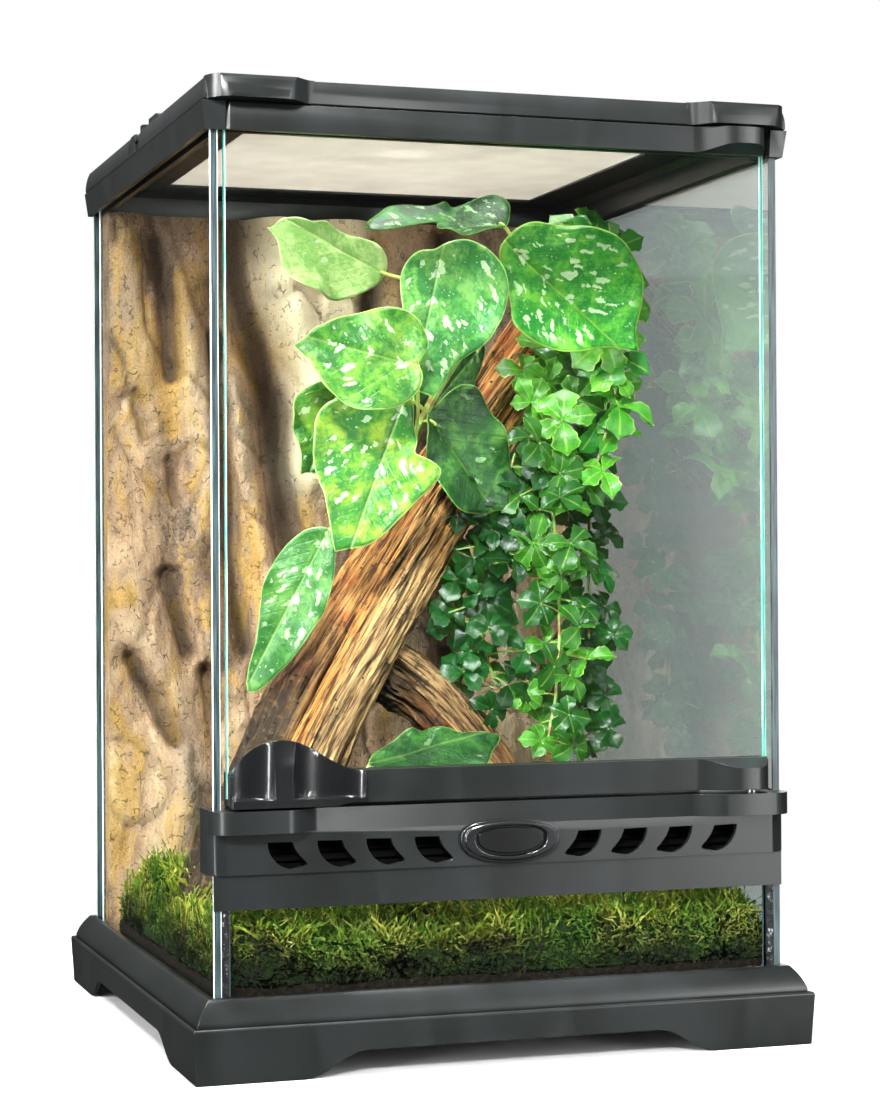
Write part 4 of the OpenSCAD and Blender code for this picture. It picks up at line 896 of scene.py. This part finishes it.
PALE = waxy_leaf("pale_young_leaf", "#bfdb90", "#a3ca78", "#84b65c", "#e2e6a8", 0.1)
FRESH = waxy_leaf("fresh_speckled_leaf", "#76a03a", "#508a34", "#2e6928", "#b0cc6c", 0.45, 0.35)
VIVID = waxy_leaf("vivid_speckled_leaf", "#62a834", "#3c922c", "#1f7826", "#a6cf56", 0.7)
BLUISH = waxy_leaf("bluish_speckled_leaf", "#70a452", "#4b8e3e", "#307434", "#b6d880", 0.62)
LIME = waxy_leaf("lime_speckled_leaf", "#8cab38", "#5f9434", "#347a30", "#c0d884", 0.55)
SHADED = waxy_leaf("shaded_leaf", "#4f8034", "#34672b", "#1f4c1f", "#86b052", 0.15, 0.8, "#8fb87c")
LOW = waxy_leaf("low_dark_leaf", "#3d7030", "#295826", "#183e1a", "#8fb25e", 0.12, 0.5, "#86ad76")
DEEP = waxy_leaf("deep_green_leaf", "#357d2e", "#1f6127", "#124418", "#7cb64c", 0.7, 0.5, "#a9cf98")
LONG = waxy_leaf("long_silvered_leaf", "#5f8f42", "#487f38", "#306a2e", "#9fc478", 0.8, 0.0, "#adc998")

# Each broad leaf: its finish, middle, base, tip and face, its cup, the knot or place its stalk ends at, and
# how far its edge lies from the middle every 15 degrees round from the tip
BROAD_LEAVES = {
    "leaf_pale": (
        PALE, (-41, 18, 402.9), (-6.2, 24.3, 396.1), (-65.8, 20.9, 428.8), (0.23, -0.919, 0.322), 0.4, 11,
        (31.4, 30.8, 29.7, 28.7, 27.4, 25.1, 23.4, 23, 23, 22.9, 23.5, 25.1, 28.6, 33.2,
         35.4, 32.1, 26.2, 22.6, 21.1, 21.1, 23.1, 24.1, 30.3, 34.6),
    ),
    "leaf_upper_left": (
        FRESH, (-46.1, -68, 341.6), (-19, -69.8, 340), (-78.2, -62.9, 355.5),
        (-0.048, -0.969, 0.242), 0.35, 3,
        (31, 28.3, 26.7, 26.5, 25.6, 26, 27, 27, 27.2, 27.8, 28.9, 30.2,
         29.7, 27.2, 33.7, 35.5, 34.4, 31, 28.4, 26.5, 25.9, 26.4, 28, 32.1),
    ),
    "leaf_upper_mid": (
        BLUISH, (7, -48, 374.1), (2.2, -44.8, 400.9), (-16.1, -50.6, 324.6), (-0.099, -0.99, 0.099), 0.3, 8,
        (43.3, 31.6, 27.5, 26.7, 26.3, 25.8, 27.1, 29.1, 31.6, 33.4, 34.8, 36.4,
         36, 33.1, 30.3, 32.9, 32.5, 30.8, 28.7, 27.4, 27.4, 29.4, 34.7, 48.8),
    ),
    "leaf_upper_right": (
        VIVID, (81.9, -30, 386.1), (48.3, -20.7, 409.7), (108.8, -41.1, 352.4),
        (-0.097, -0.966, 0.241), 0.25, 13,
        (41.7, 39.2, 38.2, 38.7, 39.9, 40.2, 39.7, 37.7, 36.3, 36.5, 39.5, 43.3,
         44.9, 45.2, 39.7, 36.8, 38, 41.8, 40, 37.4, 36.4, 35.4, 34.4, 36.3),
    ),
    "leaf_mid_left": (
        FRESH, (-58.5, -22, 310.7), (-46.6, -18.9, 330), (-63.2, -24.8, 287.1), (0.099, -0.99, 0.099), 0.3, 3,
        (19.8, 23.7, 21.9, 19.7, 17.3, 16.3, 15.6, 15.6, 16.6, 17.6, 20.1, 22.1, 24.2, 24.9,
         23, 21.1, 19.8, 17.9, 15.6, 14.2, 13.6, 13.7, 14.8, 16.7),
    ),
    "leaf_heart": (
        LIME, (-38, -44, 292.2), (-16.4, -38.3, 325.9), (-49.3, -52.1, 248.7),
        (-0.049, -0.979, 0.196), 0.3, 5,
        (43.8, 45, 39.4, 34.3, 32.3, 32.5, 35.5, 37.5, 25.1, 28.5, 32.7, 40.6, 41.7, 39.9,
         38.2, 36.8, 36.8, 34.8, 31.4, 29.7, 28.6, 28.6, 30.2, 36.4),
    ),
    "leaf_back": (
        SHADED, (25, 12, 336.6), (46.4, 16.4, 359.4), (5.7, 7.9, 314.9), (0.099, -0.99, 0.099), 0.2, 9,
        (28.1, 22.4, 16.3, 13.2, 11.6, 10.9, 11, 11.6, 13.1, 15.7, 19.2, 26.1, 32.4, 26.8,
         21.4, 17.9, 16.3, 15.1, 14.9, 15.8, 17, 19.8, 22.8, 25.9),
    ),
    "leaf_dark": (
        SHADED, (30.1, -6, 300.9), (8.3, -6.7, 317.8), (45.4, -8.9, 266.3), (0.147, -0.978, 0.147), 0.3, 4,
        (34.1, 32.4, 29.1, 26.5, 24.8, 23.8, 24.3, 24.7, 28, 33.9, 35, 32.5, 29.9, 30,
         27.2, 26.6, 26.9, 27.1, 27.4, 30.2, 33.3, 34.8, 34.7, 36.2),
    ),
    "leaf_long": (
        LONG, (-72, -28, 222.1), (-53.9, -29.6, 259.4), (-98.9, -24.1, 176.4), (-0.368, -0.92, 0.138), 0.4, 1,
        (52.6, 38.3, 26.9, 21.1, 17.8, 16.3, 15.9, 15.8, 16.9, 19.1, 22.9, 29.4, 39.1, 37.2,
         31.6, 26.6, 22.6, 19.9, 18.7, 18.8, 18.9, 20.3, 23.5, 31.5),
    ),
    "leaf_curled": (
        DEEP, (37.5, 40, 432.2), (67.8, 35.1, 427.6), (-11, 34.2, 426.8), (0, -0.684, 0.73), 0.9, 12,
        (45.9, 12.7, 11.8, 12.2, 13.8, 15.6, 17.2, 18.2, 20.3, 23.9, 27.3, 30.8, 33.8, 36.1,
         31.7, 17.3, 13.4, 11.3, 10.8, 11.3, 12.9, 18.3, 31.8, 40),
    ),
    "leaf_low": (
        LOW, (-14.1, -74, 143.9), (-53.4, -81.4, 137), (27.2, -60.2, 156.8),
        (0, -0.684, 0.73), 0.4, (-60, -84, 46),
        (41.8, 25.3, 20.2, 17.8, 16.9, 15.8, 15.8, 15.9, 17.1, 19.5, 24.4, 33, 38.3, 30.1,
         24.2, 20.4, 18.7, 18.3, 18.8, 20.9, 23.8, 28.1, 30.6, 34.6),
    ),
}
for name, facts in BROAD_LEAVES.items():
    broad_leaf(name, *facts)

# ---------- small-leaved creepers ----------


def leaflet(fullness, fold, teeth):
    """One small scalloped leaflet, 1 long, lying on XY from its foot at the origin, folded on its rib."""
    shape = bmesh.new()
    bmesh.ops.create_grid(shape, x_segments=4, y_segments=8, size=0.5)
    layer = shape.verts.layers.float_vector.new("leaf")
    for vert in shape.verts:
        # q runs across from -1 to 1, t along from 0 to 1
        q = vert.co.x * 2
        t = vert.co.y + 0.5
        half = fullness * 1.3 * t**0.8 * math.sqrt(max(0.0, 1 - t**5)) + 0.015
        tooth = 1 + teeth * math.cos(math.pi * round(t * 8)) * (abs(q) > 0.9)
        vert[layer] = Vector((abs(q), 0, max(abs(q), (t - 0.5) * 2)))
        drop = -0.25 * t * t - 0.06 * math.cos(6 * t) * abs(q)
        vert.co = Vector((q * half * tooth, t * (1 - 0.12 * q * q * t), fold * abs(q) * half * 2 + drop))
    return as_mesh(shape, "leaflet")


def copies(template, places, layer, tones):
    """One mesh of many copies of a template; each copy's tone goes into the layer's middle number."""
    count = len(template.vertices)
    rest = np.empty(count * 3)
    template.vertices.foreach_get("co", rest)
    whole = bmesh.new()
    for place in places:
        template.transform(place)
        whole.from_mesh(template)
        template.vertices.foreach_set("co", rest)
    mesh = as_mesh(whole, "copies")
    facts = mesh.attributes[layer].data
    marks = np.empty(len(mesh.vertices) * 3)
    facts.foreach_get("vector", marks)
    marks = marks.reshape(-1, 3)
    marks[:, 1] = np.repeat(tones, count)
    facts.foreach_set("vector", marks.ravel())
    return mesh


def aim(foot, out, face, size):
    """Places a leaflet: foot and size in mm, out along its rib, face the way its top looks."""
    along = Vector(out).normalized()
    side = along.cross(Vector(face)).normalized()
    up = side.cross(along)
    turn = Matrix((side, along, up)).transposed().to_4x4()
    return Matrix.Translation(Vector(foot) * MM) @ turn @ Matrix.Scale(size * MM, 4)


YOUNG = creeper_leaf("young_creeper_leaf", "#66b832", "#227a24", "#cfe070")
GROWN = creeper_leaf("grown_creeper_leaf", "#5cac30", "#124e1a", "#bada62")
# a shaded copy: painted shade for the creepers at the back and low down
SHADED_CREEPER = creeper_leaf("shaded_creeper_leaf", "#1b6428", "#052a10", "#4a8a38")

# Each creeper, in mm: its line, its finish, its number of leaf hands, a leaflet's length at the top and at
# the tip, and how far the hands stand off the line
CREEPERS = {
    "vine_front": (((112, 36, 432), (134, 4, 430), (126, -14, 360), (106, 2, 288)), YOUNG, 20, 25, 19, 15),
    "vine_middle": (((96, 38, 362), (56, -24, 310), (100, 0, 219), (72, -10, 136)), GROWN, 44, 20, 14, 20),
    "vine_rear": (((118, 54, 376), (128, 44, 300), (112, 40, 207), (118, 30, 138)), SHADED_CREEPER, 34, 18, 15, 20),
    "vine_low": (((66, 18, 300), (54, 2, 274), (22, 12, 224), (56, 8, 162)), SHADED_CREEPER, 44, 16, 16, 24),
}


# Leaflets stay left of the right pane and below the screen, in mm
PANE_SIDE, UNDER_SCREEN = 139, 450
# Above this height and left of this x the broad leaves are by themselves
CLEARING_LOW, CLEARING_RIGHT = 285, 66


def creeper(part, points, finish, hands, long_top, long_tip, spread, chance):
    """A hanging creeper: hands of three to five leaflets on short stalks all round it, facing the door."""
    line = [Vector(p) for p in points]
    kinds = [leaflet(0.38, 0.12, 0.08), leaflet(0.33, 0.25, 0.1), leaflet(0.42, 0.05, 0.07)]
    places = [[] for _ in kinds]
    tones = [[] for _ in kinds]
    stems = [(points, 1.0)]
    for i in range(hands):
        t = (i + chance.random()) / hands
        here, _, side, over = frame_along(line, t)
        turn = 2.4 * i + chance.uniform(-0.5, 0.5)
        away = side * math.cos(turn) + over * math.sin(turn)
        long = (long_top + (long_tip - long_top) * t) * chance.uniform(0.75, 1.15)
        out = away + Vector((0, -0.35, chance.uniform(-0.4, 0.5)))
        hub = here + out.normalized() * spread * chance.uniform(0.1, 1.0) ** 0.7
        hub.x = min(hub.x, PANE_SIDE - 1.05 * long)
        hub.z = min(hub.z, UNDER_SCREEN - 1.1 * long)
        if hub.z > CLEARING_LOW and hub.x < CLEARING_RIGHT:
            continue
        face = Vector((chance.uniform(-0.6, 0.6), -1, chance.uniform(-0.1, 1.2))).normalized()
        level = face.cross(Vector((0, 0, 1))).normalized()
        upward = level.cross(face)
        fingers = chance.choice((3, 4, 5, 5))
        first = chance.uniform(0, 2 * math.pi)
        tone = chance.uniform(0, 1) ** 1.3
        for k in range(fingers):
            angle = first + 2 * math.pi * k / (fingers + 0.7) + chance.uniform(-0.15, 0.15)
            rib = level * math.cos(angle) + upward * math.sin(angle) + face * chance.uniform(-0.15, 0.3)
            kind = (i + k) % len(kinds)
            places[kind].append(aim(hub, rib, face, long * chance.uniform(0.8, 1.08)))
            tones[kind].append(min(1, max(0, tone + chance.uniform(-0.15, 0.15))))
        stems.append(((here, here.lerp(hub, 0.3) + Vector((0, 0, 2)), hub.lerp(here, 0.3), hub), 0.55))
    for kind, one in enumerate(kinds):
        mesh = copies(one, places[kind], "leaf", tones[kind])
        show(f"{part}_leaves_{kind}", mesh, [finish], [part] if kind == 0 else ())
    stem_piece(part + "_stems", stems, TWIG, (), 5, 8)


chance = random.Random(SEED)
for name, facts in CREEPERS.items():
    creeper(name, *facts, chance)

# ---------- ground ----------


# Height of the soil and of the moss over it, in mm
SOIL_TOP, MOSS_DEPTH = 41, 23


def soil_top(x, y):
    """Height of the soil above the floor, in mm: level, with crumbs."""
    return SOIL_TOP + 1.5 * noise.fractal(Vector((x / 12, y / 12, 1)), 0.8, 2, 3)


def moss_height(x, y):
    """Height of the moss above the floor, in mm: rolling, with a bank against the left pane."""
    bank = 14 * math.exp(-(((x + 140) / 60) ** 2)) * math.exp(-(((y + 20) / 80) ** 2))
    wave = 6 * math.sin(math.radians(1.9 * x)) * math.sin(math.radians(2.3 * y + 40))
    return SOIL_TOP + MOSS_DEPTH + wave + bank + 3 * math.sin(math.radians(5 * x + 3 * y))


def moss_mat_top(x, y):
    """Height of the mat that the strands grow from."""
    return moss_height(x, y) - 7 + 2.5 * noise.fractal(Vector((x / 9, y / 9, 5)), 0.8, 2, 3)


def ground_block(name, part, finish, top, cells, clear=0.0):
    """A bed between the panes, clear of them by some mm, its top pushed up by a height rule."""
    low, high = (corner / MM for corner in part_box(part))
    shape = bmesh.new()
    bmesh.ops.create_grid(shape, x_segments=cells, y_segments=cells, size=0.5)
    for vert in shape.verts:
        x = low.x + clear + (vert.co.x + 0.5) * (high.x - low.x - 2 * clear)
        y = low.y + clear + (vert.co.y + 0.5) * (high.y - low.y - 2 * clear)
        vert.co = Vector((x, y, top(x, y))) * MM
    skirt(shape, 2, low.z * MM)
    return show(name, shape, [finish], [part], smooth=60)


ground_block("substrate", "soil_bed", SOIL, soil_top, 90)
ground_block("moss_mat", "moss_bed", MOSS_FLOOR, moss_mat_top, 120, 1.5)


def moss_strand(curl, width):
    """One feathery strand, 1 long, rising along +Z and curling over, fringed with side leaves."""
    shape = bmesh.new()
    layer = shape.verts.layers.float_vector.new("strand")
    bmesh.ops.create_grid(shape, x_segments=2, y_segments=7, size=0.5)
    for vert in shape.verts:
        t = vert.co.y + 0.5
        row = round(t * 7)
        fringe = 1.0 if row % 2 else 0.25
        half = width * (1 - t) ** 0.4 * fringe + 0.006
        q = vert.co.x * 2
        vert[layer] = Vector((t, 0, 0))
        bow = curl * t * t
        vert.co = Vector((q * half, bow, t - 0.5 * curl * t * t + (0.07 * abs(q) if row % 2 else 0)))
    return as_mesh(shape, "strand")


# Strands that would pass this distance from the middle, in mm, lie flat against the glass
INSIDE_GLASS = 140.3


def moss_patch(name, count, x_range, y_range, chance, long=(6, 13), spill=0.0):
    """Strands over part of the mat, leaning every way.

    long is their shortest and longest length, in mm, and spill how far below the mat's top some of them
    start, or above it where spill is negative.
    """
    kinds = [moss_strand(0.5, 0.055), moss_strand(1.0, 0.05)]
    meshes = []
    for kind in kinds:
        places, tones = [], []
        for _ in range(count // len(kinds)):
            x, y = chance.uniform(*x_range), chance.uniform(*y_range)
            z = moss_mat_top(x, y) - 1 - spill * chance.random() ** 1.3
            # fronds of one tuft lean one way and share a tone; thin spots between tufts let the dark show
            tuft = noise.noise(Vector((x / 13, y / 13, z / 9)))
            if tuft < -0.12 and chance.random() < 0.75:
                continue
            way = 9 * noise.noise(Vector((x / 24, y / 24, z / 16 + 7))) + chance.uniform(-0.8, 0.8)
            lean = Matrix.Rotation(way, 4, "Z") @ Matrix.Rotation(chance.uniform(0.2, 1.4), 4, "X")
            spin = Matrix.Rotation(chance.uniform(0, 2 * math.pi), 4, "Z")
            size = chance.uniform(*long) * (1 + 0.5 * tuft)
            foot = Matrix.Translation(Vector((x, y, z)) * MM)
            places.append(foot @ lean @ spin @ Matrix.Scale(size * MM, 4))
            tones.append(min(1.0, max(0.0, 0.42 + 1.1 * tuft + chance.uniform(-0.3, 0.3))))
        meshes.append(copies(kind, places, "strand", tones))
    reach = INSIDE_GLASS * MM
    for number, mesh in enumerate(meshes):
        for vert in mesh.vertices:
            vert.co.x = max(-reach, min(reach, vert.co.x))
            vert.co.y = max(-reach, vert.co.y)
        show(f"{name}_{number}", mesh, [MOSS], (), smooth=0)


moss_patch("moss_front", 17000, (-138, 138), (-139.5, -120), chance, (8, 20), 27)
moss_patch("moss_left", 9600, (-139.5, -122), (-122, 96), chance, (8, 20), 27)
moss_patch("moss_right", 5200, (112, 139), (-139, 20), chance, (10, 18), -13)
moss_patch("moss_top", 11000, (-122, 138), (-122, 96), chance, (8, 18))

# ---------- stage, lights, camera ----------


# Each lamp: its place and its width and height, in metres, its power in watts and its spread in degrees
LAMPS = {
    "key": ((-0.8, -1.75, 1.3), (0.35, 0.35), 2.2, 24),
    "side_left": ((-1.7, -0.45, 0.8), (0.3, 0.4), 1.3, 24),
    "fill": ((1.7, -1.3, 0.9), (0.8, 1.2), 2.5, 90),
    "strip_left": ((-1.3, -0.9, 0.4), (0.12, 1.2), 4.2, 70),
    "strip_right": ((0.9, -1.5, 0.4), (0.1, 1.2), 2.6, 70),
    "top": ((-0.05, -0.12, 1.3), (0.3, 0.3), 4.4, 30),
    "back": ((0.9, 1.7, 1.1), (1.0, 1.0), 4, 90),
}
# The spot that the lamps shine at, in the middle of the tank
TANK_MIDDLE = Vector((0, 0, 0.24))


def pale_floor():
    """Pale paper under the tank, fading out round it so that no edge or ring of it shows."""
    disc = bmesh.new()
    bmesh.ops.create_circle(disc, segments=96, radius=3.4, cap_ends=True)
    floor = bpy.data.objects.new("floor", as_mesh(disc, "floor"))
    bpy.context.scene.collection.objects.link(floor)
    material, add, where = new_finish("pale_paper_floor")
    paper = add("BsdfPrincipled", {"Base Color": "#f6f6f5", "Roughness": 0.9})
    far = add("VectorMath", [where], out="Value", operation="LENGTH")
    fade = add("MapRange", [far, 0.24, 0.46, 0, 1], interpolation_type="SMOOTHSTEP")
    add("OutputMaterial", [add("MixShader", [fade, paper, add("BsdfTransparent")])])
    floor.data.materials.append(material)
    floor.visible_glossy = False


def studio():
    """White sky that lights the tank only faintly, and the soft lamps."""
    world = bpy.data.worlds.new("studio")
    bpy.context.scene.world = world
    world.use_nodes = True
    world.node_tree.nodes.clear()
    add = functools.partial(node, world.node_tree)
    seen = add("LightPath", out="Is Camera Ray")
    _, _, up = add("SeparateXYZ", [add("TexCoord", out="Generated")]).node.outputs
    level = add("MapRange", [up, -0.1, 0.9, 0.06, 0.42], interpolation_type="SMOOTHSTEP")
    strength = add("Math", [seen, level], operation="MAXIMUM")
    add("OutputWorld", [add("Background", {"Color": "#ffffff", "Strength": strength})])
    for name, (spot, size, power, spread) in LAMPS.items():
        lamp = bpy.data.lights.new(name, "AREA")
        lamp.shape = "RECTANGLE"
        lamp.size, lamp.size_y = size
        lamp.energy = power
        lamp.spread = math.radians(spread)
        holder = bpy.data.objects.new(name, lamp)
        holder.location = spot
        holder.rotation_euler = (TANK_MIDDLE - Vector(spot)).to_track_quat("-Z", "Y").to_euler()
        holder.visible_camera = False
        bpy.context.scene.collection.objects.link(holder)
    bpy.context.scene.view_settings.view_transform = "Standard"


# The photograph's camera, fitted to the tank's straight edges: its place in metres, its turn, tilt and roll
# in radians, its focal length on a 36 mm wide picture, and its sideways shift
CAMERA_SPOT = Vector((-0.40855, -1.25658, 0.23567))
YAW, PITCH, ROLL = 0.3094, 0.0052, -0.0056
PICTURE_WIDTH, FOCAL_LENGTH = 36, 79.18
LENS_SHIFT = 0.0358


def camera_of_the_photograph():
    """Camera where the photograph's was: 1.3 m off, to the left of the door, at half height."""
    ahead = Vector((math.sin(YAW) * math.cos(PITCH), math.cos(YAW) * math.cos(PITCH), math.sin(PITCH)))
    level = Vector((math.cos(YAW), -math.sin(YAW), 0))
    over = level.cross(ahead)
    right = level * math.cos(ROLL) + over * math.sin(ROLL)
    up = over * math.cos(ROLL) - level * math.sin(ROLL)
    lens = bpy.data.cameras.new("camera")
    lens.sensor_width = PICTURE_WIDTH
    lens.lens = FOCAL_LENGTH
    lens.shift_x = LENS_SHIFT
    holder = bpy.data.objects.new("camera", lens)
    turn = Matrix((right, up, -ahead)).transposed().to_4x4()
    holder.matrix_world = Matrix.Translation(CAMERA_SPOT) @ turn
    bpy.context.scene.collection.objects.link(holder)
    bpy.context.scene.camera = holder


pale_floor()
studio()
camera_of_the_photograph()
